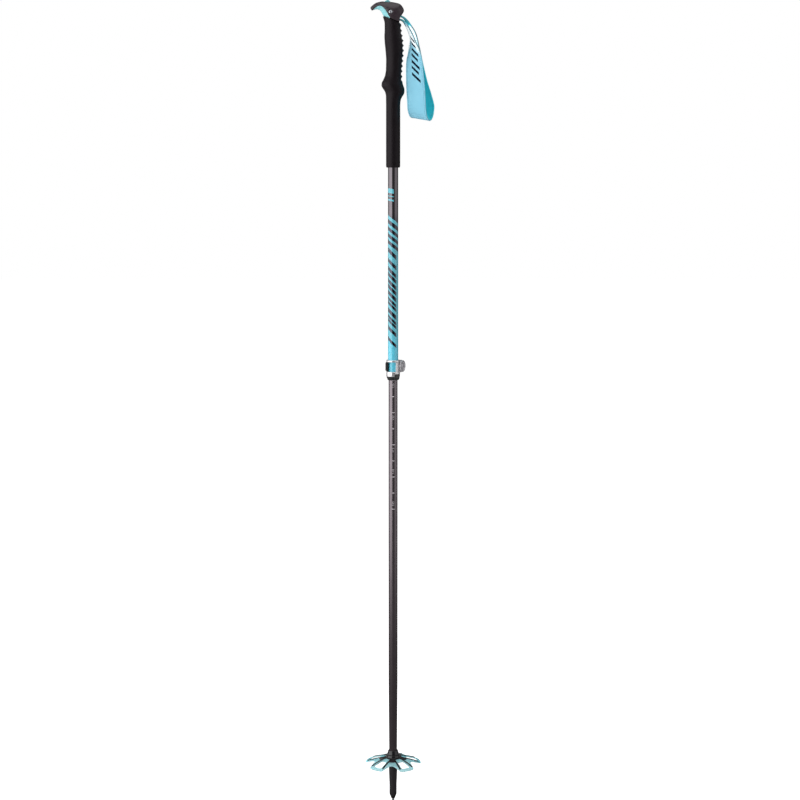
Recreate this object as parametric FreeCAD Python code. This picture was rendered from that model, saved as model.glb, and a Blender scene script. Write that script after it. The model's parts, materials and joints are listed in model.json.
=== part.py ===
import FreeCAD, Part
import math
import os

# Telescopic ski touring pole, set to 1250 mm. Millimetres.
# +Z up along the shaft, origin at the centre of the carbide point's ground face.
# +X is the strap side of the handle, -X the side the head's beak points to.

Vector = FreeCAD.Vector
os.makedirs("parts", exist_ok=True)

# ---------------------------------------------------------------- shared dimensions
# A name ending in _Z, _Y or _S with two values is a (start, end) pair.
RUN = 0.05                  # radial running clearance

UPPER_R = 16.0 / 2          # upper tube
UPPER_INNER_R = UPPER_R - 0.8
UPPER_Z0 = 659.5
UPPER_Z1 = 1206.0
TUBE_PLUG_TOP = UPPER_Z1 + 3.0

LOWER_R = 14.0 / 2          # lower shaft, drawn down towards the tip
LOWER_WALL = 0.9
LOWER_INNER_R = LOWER_R - LOWER_WALL
LOWER_Z0 = 50.0
LOWER_Z1 = 921.0
TAPER_Z = 188.0             # taper starts here and runs down
TAPER_SLOPE = 0.85 / 106.0  # radius lost per millimetre below TAPER_Z

SPIGOT_R = 10.0             # spigot of the head inside the foam
SPIGOT_Z = 1192.0           # its lower end

WEDGE_REACH = 40.0          # longer than any part a wedge trims


# ---------------------------------------------------------------- helpers
def polygon_face(points):
    return Part.Face(Part.makePolygon(points + [points[0]]))


def revolve(profile):
    """Solid of revolution about Z from a closed (radius, z) outline."""
    face = polygon_face([Vector(radius, 0, z) for radius, z in profile])
    return face.revolve(Vector(0, 0, 0), Vector(0, 0, 1), 360)


def ring(inner, outer, bottom, top):
    return revolve([(inner, bottom), (outer, bottom), (outer, top), (inner, top)])


def cylinder(radius, bottom, top, x=0.0, y=0.0):
    return Part.makeCylinder(radius, top - bottom, Vector(x, y, bottom), Vector(0, 0, 1))


def prism_xy(points, bottom, top):
    face = polygon_face([Vector(x, y, bottom) for x, y in points])
    return face.extrude(Vector(0, 0, top - bottom))


def prism_xz(points, y_start, y_end):
    face = polygon_face([Vector(x, y_start, z) for x, z in points])
    return face.extrude(Vector(0, y_end - y_start, 0))


def radial_slit(x_start, x_end, half_width, bottom, top):
    """Box along +X, centred on the XZ plane."""
    corner = Vector(x_start, -half_width, bottom)
    return Part.makeBox(x_end - x_start, 2 * half_width, top - bottom, corner)


def circle_point(radius, angle):
    """Point about the origin, angle in radians."""
    return (radius * math.cos(angle), radius * math.sin(angle))


def wedge(start, end, bottom, top):
    """Wedge about Z between two angles, degrees from +X towards +Y."""
    steps = max(2, int(abs(end - start) / 20) + 1)
    rim = [circle_point(WEDGE_REACH, math.radians(start + (end - start) * i / steps))
           for i in range(steps + 1)]
    return prism_xy([(0.0, 0.0)] + rim, bottom, top)


def ring_arc(inner, outer, bottom, top, start, end):
    """The part of a ring between two angles, in degrees."""
    return ring(inner, outer, bottom, top).common(wedge(start, end, bottom - 1, top + 1))


def fuse(shapes):
    result = shapes[0]
    for shape in shapes[1:]:
        result = result.fuse(shape)
    return result.removeSplitter()


def largest_solid(shape):
    return max(shape.Solids, key=lambda solid: solid.Volume)


def export(name, shape):
    solids = shape.Solids
    piece = solids[0] if len(solids) == 1 else Part.makeCompound(solids)
    if not piece.isValid():
        piece = piece.copy()
        piece.fix(1e-4, 1e-4, 1e-3)
    piece.exportStep("parts/%s.step" % name)


# ---------------------------------------------------------------- lower shaft and tip
def lower_radius(z):
    return LOWER_R - max(0.0, TAPER_Z - z) * TAPER_SLOPE


LOWER_END_R = lower_radius(LOWER_Z0)

TIP_R = 6.5
COLLAR_LOW = 72.6
COLLAR_TOP = 79.2

LUG_R = 7.9                 # two bayonet lugs that hold the basket
LUG_Z = (69.3, 70.9)
LUG_HALF_ANGLE = 25

POINT_R = 1.9
POINT_TOP = 22.0
FERRULE_SHANK_R = 3.4
FERRULE_TOP = 27.0

SPOOL_R = 5.0               # neck of the shaft plug that carries the glide ring
SPOOL_Z = (LOWER_Z1 + 2.0, LOWER_Z1 + 16.0)


def lower_shaft():
    return revolve([
        (LOWER_END_R - LOWER_WALL, LOWER_Z0), (LOWER_END_R, LOWER_Z0), (LOWER_R, TAPER_Z),
        (LOWER_R, LOWER_Z1), (LOWER_INNER_R, LOWER_Z1), (LOWER_INNER_R, TAPER_Z),
    ])


def tip_body():
    body = revolve([
        (0, 9.6), (5.05, 9.6), (5.6, 12.0), (5.6, 26.0), (TIP_R, 48.0), (TIP_R, COLLAR_LOW),
        (9.2, COLLAR_LOW), (9.2, COLLAR_LOW + 0.7), (7.5, COLLAR_TOP - 0.3), (7.2, COLLAR_TOP),
        (lower_radius(COLLAR_TOP), COLLAR_TOP), (LOWER_END_R, LOWER_Z0), (0, LOWER_Z0),
    ])
    body = body.cut(cylinder(FERRULE_SHANK_R, 0, FERRULE_TOP))
    lugs = []
    for angle in (0, 180):
        lug = ring_arc(TIP_R - 0.3, LUG_R, *LUG_Z, angle - LUG_HALF_ANGLE, angle + LUG_HALF_ANGLE)
        lugs.append(lug.cut(cylinder(lower_radius(LUG_Z[1]) + 0.2, 60, 80)))
    return fuse([body] + lugs)


def tip_ferrule():
    body = revolve([
        (0, 4.0), (2.5, 4.0), (4.9, 9.55), (FERRULE_SHANK_R, 9.55), (FERRULE_SHANK_R, 26.8),
        (3.0, FERRULE_TOP), (0, FERRULE_TOP),
    ])
    return body.cut(cylinder(POINT_R, 0, POINT_TOP))


def carbide_point():
    return revolve([(0, 0.0), (1.35, 0.0), (POINT_R, 1.4), (POINT_R, POINT_TOP), (0, POINT_TOP)])


def shaft_plug():
    """Plug in the top end of the lower shaft, spooled to carry the glide ring."""
    bottom, top = 893.0, LOWER_Z1 + 18.5
    return revolve([
        (0, bottom), (LOWER_INNER_R - 0.8, bottom), (LOWER_INNER_R, bottom + 3.0),
        (LOWER_INNER_R, LOWER_Z1), (LOWER_R, LOWER_Z1), (LOWER_R, SPOOL_Z[0]),
        (SPOOL_R, SPOOL_Z[0]), (SPOOL_R, SPOOL_Z[1]), (LOWER_R, SPOOL_Z[1]),
        (6.6, top), (0, top),
    ])


def glide_ring():
    """Split ring on the plug's neck, running in the upper tube."""
    bottom, top = SPOOL_Z[0] + 0.1, SPOOL_Z[1] - 0.1
    inner, outer = SPOOL_R + RUN, UPPER_INNER_R - RUN
    edge_r = UPPER_INNER_R - 0.4
    body = revolve([
        (inner, bottom), (edge_r, bottom), (outer, bottom + 1.0),
        (outer, top - 1.0), (edge_r, top), (inner, top),
    ])
    return body.cut(radial_slit(0, 12, 0.6, LOWER_Z1, LOWER_Z1 + 20))


# ---------------------------------------------------------------- basket
BASKET_R = 43.4
DOME_R = 110.0              # sphere the web's upper face lies on
DOME_Z = 68.4               # top of that sphere
BASKET_ROT = -3.7           # a notch faces this way, degrees from -Y towards +X
PETALS = 5
PETAL_PITCH = 360.0 / PETALS
WEB_T = 1.8
RIB_H = 1.1
RIB_W = 2.7
BASKET_SPAN = (40, 80)      # z range that clears the whole basket
BORE_R = TIP_R + RUN
LUG_PLAY = 0.15             # between the bayonet lugs and their groove
GROOVE_R = LUG_R + LUG_PLAY

RIM_HALF_ANGLE = 16.0       # a petal's rim, as RIM_STEPS chords
RIM_STEPS = 8
RIM_CORNER_DROP = 0.9

# Notch between two petals and the raised web behind it:
# radius, degrees from the notch's middle
NOTCH = [(41.7, -18.6), (31.8, -8.2), (29.8, -4.4), (29.3, 0), (29.8, 4.4), (31.8, 8.2),
         (41.7, 18.6)]
FILL = [(8.0, -30), (20.6, -15.5), (21.6, -7), (21.9, 0), (21.6, 7), (20.6, 15.5), (8.0, 30)]
# Window in a petal: distance out along the petal, distance sideways
WINDOW = [(20.8, -3.8), (22.0, -5.0), (36.6, -7.0), (37.9, -6.0), (38.2, 0.0), (37.9, 6.0),
          (36.6, 7.0), (22.0, 5.0), (20.8, 3.8)]
# Centre line of a rib, same columns
RIB_LINE = [(8.0, 5.3), (20.0, 7.2), (37.8, 10.9)]

PETAL_ANGLES = [BASKET_ROT + PETAL_PITCH / 2 + PETAL_PITCH * i for i in range(PETALS)]
NOTCH_ANGLES = [angle + PETAL_PITCH / 2 for angle in PETAL_ANGLES]


def basket_point(radius, angle):
    """Plan point at a radius and an angle, degrees from -Y towards +X."""
    turn = math.radians(angle)
    return (radius * math.sin(turn), -radius * math.cos(turn))


def petal_point(petal, out, side):
    return basket_point(math.hypot(out, side), petal + math.degrees(math.atan2(side, out)))


def basket_outline():
    outline = []
    for petal, notch in zip(PETAL_ANGLES, NOTCH_ANGLES):
        for i in range(RIM_STEPS + 1):
            offset = -RIM_HALF_ANGLE + 2 * RIM_HALF_ANGLE * i / RIM_STEPS
            drop = RIM_CORNER_DROP if i in (0, RIM_STEPS) else 0.0
            outline.append(basket_point(BASKET_R - drop, petal + offset))
        outline += [basket_point(radius, notch + offset) for radius, offset in NOTCH]
    return outline


def rib_plan(petal, side):
    inner = [petal_point(petal, out, side * (across - RIB_W / 2)) for out, across in RIB_LINE]
    # the outer edge runs a little further out at the rim
    outer = [petal_point(petal, out + (0.3 if out > 30 else 0), side * (across + RIB_W / 2))
             for out, across in RIB_LINE]
    return inner + outer[::-1]


def dome(radius):
    return Part.makeSphere(radius, Vector(0, 0, DOME_Z - DOME_R))


def basket_web():
    web = dome(DOME_R).cut(dome(DOME_R - WEB_T))
    web = web.common(prism_xy(basket_outline(), *BASKET_SPAN))
    web = web.cut(cylinder(9.5, *BASKET_SPAN))
    for petal in PETAL_ANGLES:
        window = [petal_point(petal, out, side) for out, side in WINDOW]
        web = web.cut(prism_xy(window, *BASKET_SPAN))
    return web


def basket_frame():
    """Raised ribs and hub, with the bayonet groove and its entry slots."""
    raised = [rib_plan(petal, side) for petal in PETAL_ANGLES for side in (-1, 1)]
    raised += [[basket_point(radius, notch + offset) for radius, offset in FILL]
               for notch in NOTCH_ANGLES]
    plan = prism_xy(raised[0], *BASKET_SPAN)
    for points in raised[1:]:
        plan = plan.fuse(prism_xy(points, *BASKET_SPAN))
    plan = plan.fuse(cylinder(13.2, *BASKET_SPAN))
    ribs = dome(DOME_R + RIB_H).cut(dome(DOME_R)).common(plan)
    hub = revolve([
        (BORE_R, 58.0), (7.7, 58.0), (8.3, 60.0), (8.9, 64.0), (9.5, 66.0), (9.5, 69.0),
        (10.3, 69.0), (10.35, 69.6), (9.6, 71.9), (9.2, 72.4), (BORE_R, 72.4),
    ])
    frame = fuse([ribs, hub])
    frame = frame.cut(cylinder(BORE_R, *BASKET_SPAN))
    cut_r = TIP_R - 0.5
    frame = frame.cut(ring(cut_r, GROOVE_R, LUG_Z[0] - LUG_PLAY, LUG_Z[1] + LUG_PLAY))
    for angle in (90, 270):
        frame = frame.cut(ring_arc(cut_r, GROOVE_R, 70.5, 75.0, angle - 28, angle + 28))
    return frame


# ---------------------------------------------------------------- upper tube
def upper_tube():
    tube = ring(UPPER_INNER_R, UPPER_R, UPPER_Z0, UPPER_Z1)
    # saw cuts that let the tube's end close on the lower shaft
    for angle in (64.0, 184.0):
        saw_cut = radial_slit(4, 12, 0.6, UPPER_Z0 - 1, 688.0)
        saw_cut.rotate(Vector(0, 0, 0), Vector(0, 0, 1), angle)
        tube = tube.cut(saw_cut)
    return tube


def tube_plug():
    return revolve([
        (0, 1184.0), (UPPER_INNER_R - 0.8, 1184.0), (UPPER_INNER_R, 1186.5),
        (UPPER_INNER_R, UPPER_Z1), (UPPER_R, UPPER_Z1),
        (UPPER_R, TUBE_PLUG_TOP), (0, TUBE_PLUG_TOP),
    ])


# ---------------------------------------------------------------- grip foam
# Head and foam meet in a slanted plane, z = SEAM_Z - SEAM_SLOPE * x
SEAM_Z = 1216.7
SEAM_SLOPE = 0.42

# z, x of the -X face, x of the +X face, half width in Y
GRIP = [
    (987.0, -10.3, 10.5, 10.4), (989.5, -11.0, 11.1, 11.0), (1040.0, -11.0, 11.2, 11.0),
    (1084.0, -11.0, 11.2, 11.0), (1092.0, -11.1, 11.9, 11.2), (1097.5, -11.2, 14.2, 11.9),
    (1102.0, -11.7, 17.0, 12.9), (1106.0, -13.0, 17.9, 13.8), (1110.0, -15.6, 17.7, 14.6),
    (1115.0, -18.1, 16.0, 14.9), (1119.0, -17.8, 14.9, 14.4), (1124.0, -15.4, 14.4, 13.6),
    (1131.0, -12.6, 14.5, 12.9), (1140.0, -11.2, 14.9, 12.6), (1155.0, -10.9, 16.0, 12.6),
    (1170.0, -11.9, 16.9, 12.9), (1182.0, -13.1, 16.5, 13.1), (1192.0, -13.6, 15.2, 13.1),
    (1202.0, -13.2, 13.6, 12.9), (1212.0, -13.3, 12.5, 12.6), (1226.0, -16.4, 11.0, 12.2),
]
GRIP_TOP = GRIP[-1][0]
LOWER_LEVELS = [987.0, 989.5, 1015.0, 1040.0, 1084.0]  # loft heights on the plain part
LEVEL_STEP = 3.0            # spacing of the loft heights above it
OVAL_POINTS = 24

# Scallops across the +X face: z of the crests between and beside them
CRESTS = [1209.0, 1200.8, 1193.4, 1185.6, 1177.6, 1169.6, 1161.4, 1153.2, 1145.2, 1137.2,
          1129.2, 1120.8]
SCALLOP_R = 3.9
SCALLOP_DEPTH = 2.1
END_SCALLOP_DEPTH = 1.8


def oval(x_min, x_max, half_width, z):
    """Closed smooth section, always starting on the +X face."""
    centre, half_depth = (x_min + x_max) / 2, (x_max - x_min) / 2
    points = []
    for i in range(OVAL_POINTS):
        angle = 2 * math.pi * i / OVAL_POINTS
        points.append(Vector(centre + half_depth * math.cos(angle),
                             half_width * math.sin(angle), z))
    curve = Part.BSplineCurve()
    curve.interpolate(Points=points, PeriodicFlag=True)
    return Part.Wire([curve.toShape()])


def chord_slope(row, column):
    """Slope of a GRIP column between a row and the next."""
    return (GRIP[row + 1][column] - GRIP[row][column]) / (GRIP[row + 1][0] - GRIP[row][0])


def row_slope(row, column):
    """Slope at a row: harmonic mean of its neighbours, 0 at a turning point or an end."""
    if row == 0 or row == len(GRIP) - 1:
        return 0.0
    below, above = chord_slope(row - 1, column), chord_slope(row, column)
    return 0.0 if below * above <= 0 else 2 * below * above / (below + above)


def grip_section(z):
    """-X face, +X face and half width at z, by monotone cubic interpolation of GRIP."""
    row = min(len(GRIP) - 2, sum(1 for station in GRIP if station[0] <= z) - 1)
    step = GRIP[row + 1][0] - GRIP[row][0]
    part = (z - GRIP[row][0]) / step
    values = []
    for column in (1, 2, 3):
        values.append(
            (2 * part ** 3 - 3 * part ** 2 + 1) * GRIP[row][column]
            + (part ** 3 - 2 * part ** 2 + part) * row_slope(row, column) * step
            + (-2 * part ** 3 + 3 * part ** 2) * GRIP[row + 1][column]
            + (part ** 3 - part ** 2) * row_slope(row + 1, column) * step)
    return values


def grip_foam():
    levels = list(LOWER_LEVELS)
    while levels[-1] < GRIP_TOP:
        levels.append(min(GRIP_TOP, levels[-1] + LEVEL_STEP))
    foam = Part.makeLoft([oval(*grip_section(z), z) for z in levels], True, True)
    above_seam = prism_xz([(-60, SEAM_Z + 60 * SEAM_SLOPE), (60, SEAM_Z - 60 * SEAM_SLOPE),
                           (60, 1400), (-60, 1400)], -40, 40)
    foam = foam.cut(above_seam)
    for i in range(len(CRESTS) - 1):
        z = (CRESTS[i] + CRESTS[i + 1]) / 2
        depth = END_SCALLOP_DEPTH if i in (0, len(CRESTS) - 2) else SCALLOP_DEPTH
        x = grip_section(z)[1] - depth + SCALLOP_R
        foam = foam.cut(Part.makeCylinder(SCALLOP_R, 60, Vector(x, -30, z), Vector(0, 1, 0)))
    return foam.cut(cylinder(UPPER_R, 900, 1300)).cut(cylinder(SPIGOT_R, SPIGOT_Z, 1300))


# ---------------------------------------------------------------- head
CREST_Z = 1249.2            # top of the pole, a nominal 125 cm
HEAD_HALF_Y = 14            # wider than the head, trimmed by its plan
SPIGOT_TOP = 1222.0

# Side outlines (x, z): the edge head and inlay share, then the rest of each
INLAY_EDGE = [
    (-4.2, 1218.5), (-5.0, 1220.9), (-7.5, 1225.4), (-10.0, 1229.8), (-12.9, 1233.8),
    (-15.6, 1236.7), (-17.6, 1238.2), (-19.7, 1238.9), (-22.0, 1239.0), (-24.4, 1238.4),
    (-28.2, 1236.0), (-31.0, 1233.4),
]
HEAD_SIDE = [
    (-31.9, 1232.6), (-33.4, 1232.7), (-34.9, 1234.6), (-35.3, 1236.7), (-33.0, 1238.9),
    (-30.0, 1241.3), (-26.4, 1243.7), (-21.5, 1245.6), (-15.9, 1246.6), (-7.0, 1246.5),
    (-0.3, 1244.9), (6.4, 1243.6), (10.9, 1241.8), (14.0, 1238.8), (16.3, 1235.0),
    (17.3, 1232.1), (17.0, 1230.6), (15.4, 1228.2), (12.6, 1224.6), (10.4, 1220.7),
    (9.9, 1212.6),
] + INLAY_EDGE
INLAY_SIDE = INLAY_EDGE + [
    (-30.0, 1233.1), (-27.5, 1234.0), (-24.6, 1234.2), (-21.4, 1233.3), (-19.4, 1231.4),
    (-17.9, 1228.9), (-16.4, 1226.2), (-15.0, 1223.0),
]
# Plan of the head: x, half width in Y
HEAD_PLAN = [
    (-36, 0), (-35.6, 3.4), (-34.4, 5.6), (-32.0, 6.9), (-26.0, 8.2), (-19.0, 10.2),
    (-12.0, 12.2), (-5.0, 13.2), (2.0, 13.3), (8.0, 12.6), (12.5, 10.7), (15.6, 7.6),
    (17.2, 3.6), (17.5, 0),
]
# Half of the outline seen along X, up to the middle of the top: y, z
HEAD_SECTION = [(-13.4, 1205), (-13.4, 1232), (-12.3, 1237.5), (-9.5, 1242), (-5.5, 1245.2),
                (0, 1246.8)]
CREST_SIDE = [
    (-14.6, 1245.4), (-12.4, 1247.0), (-10.2, 1248.5), (-8.9, CREST_Z), (-7.9, CREST_Z),
    (-6.4, 1248.5), (-4.9, 1246.8), (-3.8, 1245.0), (-5.0, 1243.2), (-13.0, 1243.2),
]

# The strap channel runs from the bolt's axis to the mouth on the +X side
BOLT_X, BOLT_Z = -3.7, 1229.3
MOUTH_X, MOUTH_Z = 11.0, 1219.0
CHANNEL_LENGTH = math.hypot(MOUTH_X - BOLT_X, MOUTH_Z - BOLT_Z)
CHANNEL_DX = (MOUTH_X - BOLT_X) / CHANNEL_LENGTH
CHANNEL_DZ = (MOUTH_Z - BOLT_Z) / CHANNEL_LENGTH

TAIL_OUTER_R = 4.2          # strap's end, folded round the bolt
TAIL_INNER_R = 2.65
BOLT_R = 2.5
BOLT_HEAD_R = 3.3
BOLT_HEAD_T = 2.1
BOLT_SEAT_Y = 10.9          # bolt head and nut head sit this far from the middle
HEX_R = 1.45                # across corners, halved


def channel_prism(points, half_width):
    """Prism along Y from points given as (distance along the channel, offset across it)."""
    outline = [(BOLT_X + CHANNEL_DX * along - CHANNEL_DZ * offset,
                BOLT_Z + CHANNEL_DZ * along + CHANNEL_DX * offset) for along, offset in points]
    return prism_xz(outline, -half_width, half_width)


def channel_slab(half_height, length, half_width):
    return channel_prism([(0, -half_height), (length, -half_height),
                          (length, half_height), (0, half_height)], half_width)


def bolt_cylinder(radius, y_start, length):
    return Part.makeCylinder(radius, length, Vector(BOLT_X, y_start, BOLT_Z), Vector(0, 1, 0))


def centred_bolt_cylinder(radius, half_width):
    return bolt_cylinder(radius, -half_width, 2 * half_width)


def rounded_slab(radius, length, half_width):
    """Slab along the channel with a round end on the bolt's axis."""
    slab = channel_slab(radius, length, half_width)
    return slab.fuse(centred_bolt_cylinder(radius, half_width))


def hex_socket(y_start, y_end):
    corners = [circle_point(HEX_R, math.radians(60 * i)) for i in range(6)]
    return prism_xz([(BOLT_X + x, BOLT_Z + z) for x, z in corners], y_start, y_end)


def strap_channel():
    return rounded_slab(4.8, 30, 10.6)


def head_plan_body():
    mirrored = [(x, -y) for x, y in HEAD_PLAN[-2:0:-1]]
    return prism_xy(HEAD_PLAN + mirrored, 1180, 1260)


def crest_insert():
    return prism_xz(CREST_SIDE, -3.1, 3.1)


def spigot():
    """Goes down inside the foam, round the tube."""
    return cylinder(SPIGOT_R, SPIGOT_Z, SPIGOT_TOP)


def grip_head():
    section = HEAD_SECTION + [(-y, z) for y, z in HEAD_SECTION[-2::-1]]
    section_body = polygon_face([Vector(-60, y, z) for y, z in section]).extrude(
        Vector(100, 0, 0))
    head = prism_xz(HEAD_SIDE, -HEAD_HALF_Y, HEAD_HALF_Y)
    head = head.common(head_plan_body()).common(section_body)
    head = fuse([head, spigot()])
    head = head.cut(crest_insert())
    # tube socket, strap channel, bolt hole with two counterbores
    head = head.cut(cylinder(UPPER_R, 1150, TUBE_PLUG_TOP))
    head = head.cut(strap_channel())
    head = head.cut(centred_bolt_cylinder(BOLT_R + RUN, 20))
    for y_start in (-BOLT_SEAT_Y - 4.0, BOLT_SEAT_Y):
        head = head.cut(bolt_cylinder(3.5, y_start, 4.0))
    return largest_solid(head)


def head_inlay():
    """Inlay along the head's underside, below the beak."""
    inlay = prism_xz(INLAY_SIDE, -HEAD_HALF_Y, HEAD_HALF_Y).common(head_plan_body())
    return largest_solid(inlay.cut(strap_channel()).cut(spigot()))


def strap_tail():
    tail = rounded_slab(TAIL_OUTER_R, 17.5, 10.0)
    tail = tail.cut(channel_slab(TAIL_INNER_R, 18, 12))
    return tail.cut(centred_bolt_cylinder(TAIL_INNER_R, 12)).removeSplitter()


def strap_wedge():
    return channel_prism([(5.0, -1.4), (15.8, -2.5), (16.4, -2.0), (16.4, 2.0), (15.8, 2.5),
                          (5.0, 1.4)], 9.6)


def strap_bolt():
    """Socket-head bolt from the -Y side."""
    bolt = bolt_cylinder(BOLT_R, -BOLT_SEAT_Y, 19.0)
    bolt = bolt.fuse(bolt_cylinder(BOLT_HEAD_R, -BOLT_SEAT_Y - BOLT_HEAD_T, BOLT_HEAD_T))
    return bolt.cut(hex_socket(-13.5, -11.2)).removeSplitter()


def strap_nut():
    """Sleeve nut from the +Y side."""
    sleeve_length = 2.7
    nut = bolt_cylinder(BOLT_HEAD_R, BOLT_SEAT_Y, BOLT_HEAD_T)
    nut = nut.fuse(bolt_cylinder(BOLT_R, BOLT_SEAT_Y - sleeve_length, sleeve_length))
    return nut.cut(hex_socket(11.4, 13.5)).removeSplitter()


# ---------------------------------------------------------------- hand loop
# One flat band from the head's mouth down the -Y leg, round the bottom and up the +Y leg.
# Each row: centre x, y, z, half-width vector x, y, z.
# The half width lies mostly along Y at the head and turns mostly along X below.
DOWN_LEG = [
    (14.3, -0.4, 1216.6, 0.3, -10.0, 0.0), (20.7, -1.6, 1209.0, 1.4, -10.6, 0.0),
    (26.0, -3.6, 1198.5, 2.0, -11.6, 0.0), (29.4, -5.8, 1188.5, 2.8, -12.8, 0.1),
    (31.3, -8.0, 1177.5, 5.0, -13.4, 0.2), (32.4, -9.8, 1167.5, 8.8, -12.8, -0.4),
    (32.9, -11.4, 1153.0, 12.2, -10.6, -0.8), (33.9, -12.6, 1130.0, 13.7, -8.8, -1.0),
    (35.2, -13.0, 1108.0, 14.4, -8.2, -1.2), (36.5, -13.0, 1085.0, 14.4, -8.0, -1.3),
]
UP_LEG = [
    (49.8, 13.0, 1085.0, 14.6, -7.8, -1.3), (46.2, 13.0, 1100.0, 14.6, -7.9, -1.2),
    (39.0, 12.4, 1124.0, 14.3, -8.2, -1.0), (34.4, 11.2, 1149.0, 12.6, -10.2, -0.8),
    (33.2, 9.2, 1173.5, 8.6, -12.6, -0.4), (32.7, 7.2, 1186.0, 6.0, -12.6, 0.0),
    (30.4, 5.2, 1198.5, 4.2, -12.0, 0.0), (25.4, 2.8, 1209.4, 2.4, -11.2, 0.0),
    (21.9, 1.4, 1215.0, 1.6, -10.6, 0.0), (17.1, 0.4, 1220.4, 0.5, -10.0, 0.0),
]
LOOP_DROP = 21.7            # depth of the bottom bend below the legs' ends
BEND_STEPS = 8
STRAP_T = 2.2


def bottom_bend():
    """Half ellipse of rows between the lower ends of the two legs."""
    x_start, y_start, z_start = DOWN_LEG[-1][:3]
    x_end = UP_LEG[0][0]
    rows = []
    for i in range(1, BEND_STEPS):
        angle = math.pi * i / BEND_STEPS
        rows.append(((x_start + x_end) / 2 - (x_end - x_start) / 2 * math.cos(angle),
                     y_start * math.cos(angle), z_start - LOOP_DROP * math.sin(angle),
                     14.5, -7.9, -1.4))
    return rows


def strap_loop():
    rows = DOWN_LEG + bottom_bend() + UP_LEG
    wires = []
    for i, row in enumerate(rows):
        before, after = rows[max(0, i - 1)], rows[min(len(rows) - 1, i + 1)]
        centre, half = Vector(*row[:3]), Vector(*row[3:])
        normal = (Vector(*after[:3]) - Vector(*before[:3])).cross(half)
        normal.normalize()
        normal = normal * (STRAP_T / 2)
        corners = [centre - half - normal, centre + half - normal,
                   centre + half + normal, centre - half + normal]
        wires.append(Part.makePolygon(corners + [corners[0]]))
    return Part.makeLoft(wires, True, True)


# ---------------------------------------------------------------- length clamp
CLAMP_SPAN = (600, 750)     # z range that clears the whole clamp

SCREW_ANGLE = math.radians(-26.0)  # clamp screw's direction in plan, from +X
SCREW_COS, SCREW_SIN = math.cos(SCREW_ANGLE), math.sin(SCREW_ANGLE)
SCREW_OUT = 11.8            # clamp screw's distance from the pole's axis
SCREW_Z = 677.0
SCREW_R = 2.0
SCREW_HOLE_R = SCREW_R + 0.15
SCREW_END = 11.0

# Places along the screw (_S) are measured from its closest point to the pole's axis
BARREL_S = -12.3
BARREL_R = 2.6

BAND_R0 = 8.05
BAND_R1 = 10.8
BAND_LOW_Z = (661.5, 669.4)
BAND_HIGH_Z = (684.0, 687.2)
WALL_R = 9.4                # thin wall between the band's two rings
JOIN_Z = (BAND_LOW_Z[1] - 1, BAND_HIGH_Z[0] + 1)
SPLIT_HALF = 1.0
EAR_OUT = (8.4, 16.6)
LEVER_EAR_S = -6.5          # outer face of the ear on the lever's side
KNOB_EAR_S = 8.0            # outer face of the ear on the knob's side
KEY_ANGLES = (284.0, 333.0)  # notch for the collar's key, degrees from +X

WHEEL_R = 9.2
WHEEL_S = (9.1, 11.6)
KNURLS = 22

LEVER_Z = (669.9, 683.6)
LOBE_OFFSET = 0.3           # eccentricity of the lobe on the barrel
LOBE_R = 4.8
ARM_R0, ARM_R1 = 9.0, 12.0
ARM_ANGLES = (132.0, 221.0)
BEVEL_H = 2.4
SCREW_SLOT_HALF = 2.4


def clamp_point(along, out):
    """Plan point at a distance along the clamp screw and out from the pole's axis."""
    return (along * SCREW_COS - out * SCREW_SIN, along * SCREW_SIN + out * SCREW_COS)


BARREL_X, BARREL_Y = clamp_point(BARREL_S, SCREW_OUT)


def screw_cylinder(radius, start, end, out=SCREW_OUT, z=SCREW_Z):
    x, y = clamp_point(start, out)
    return Part.makeCylinder(radius, end - start, Vector(x, y, z),
                             Vector(SCREW_COS, SCREW_SIN, 0))


def clamp_block(start, end, inner, outer, bottom, top):
    return prism_xy([clamp_point(start, inner), clamp_point(end, inner),
                     clamp_point(end, outer), clamp_point(start, outer)], bottom, top)


def band_ring(bottom, top, chamfer):
    return revolve([
        (BAND_R0, bottom), (BAND_R1 - chamfer, bottom), (BAND_R1, bottom + chamfer),
        (BAND_R1, top - chamfer), (BAND_R1 - chamfer, top), (BAND_R0, top),
    ])


def screw_hole():
    return screw_cylinder(SCREW_HOLE_R, -20, 20)


def clamp_band():
    band = band_ring(*BAND_LOW_Z, 0.7).fuse(band_ring(*BAND_HIGH_Z, 0.6))
    band = band.fuse(ring_arc(BAND_R0, WALL_R, *JOIN_Z, -61, 104))
    knob_ear = clamp_block(SPLIT_HALF, KNOB_EAR_S, *EAR_OUT, 667.2, 686.2)
    lever_ear = clamp_block(LEVER_EAR_S, -SPLIT_HALF, *EAR_OUT, 670.2, 683.4)
    feet = ring(BAND_R0, BAND_R1, *JOIN_Z).common(
        clamp_block(LEVER_EAR_S, KNOB_EAR_S, 5.0, 12.0, *CLAMP_SPAN))
    band = band.fuse(knob_ear).fuse(lever_ear).fuse(feet)
    band = band.cut(cylinder(BAND_R0, *CLAMP_SPAN))
    band = band.cut(clamp_block(-SPLIT_HALF, SPLIT_HALF, 0.0, 30.0, *CLAMP_SPAN))
    band = band.cut(screw_hole())
    band = band.cut(screw_cylinder(WHEEL_R + 0.35, 8.7, 20))
    # notch in the low ring for the collar's key
    band = band.cut(ring_arc(BAND_R0 - 0.5, 14, 660.0, 665.6, *KEY_ANGLES))
    return largest_solid(band.removeSplitter())


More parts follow.
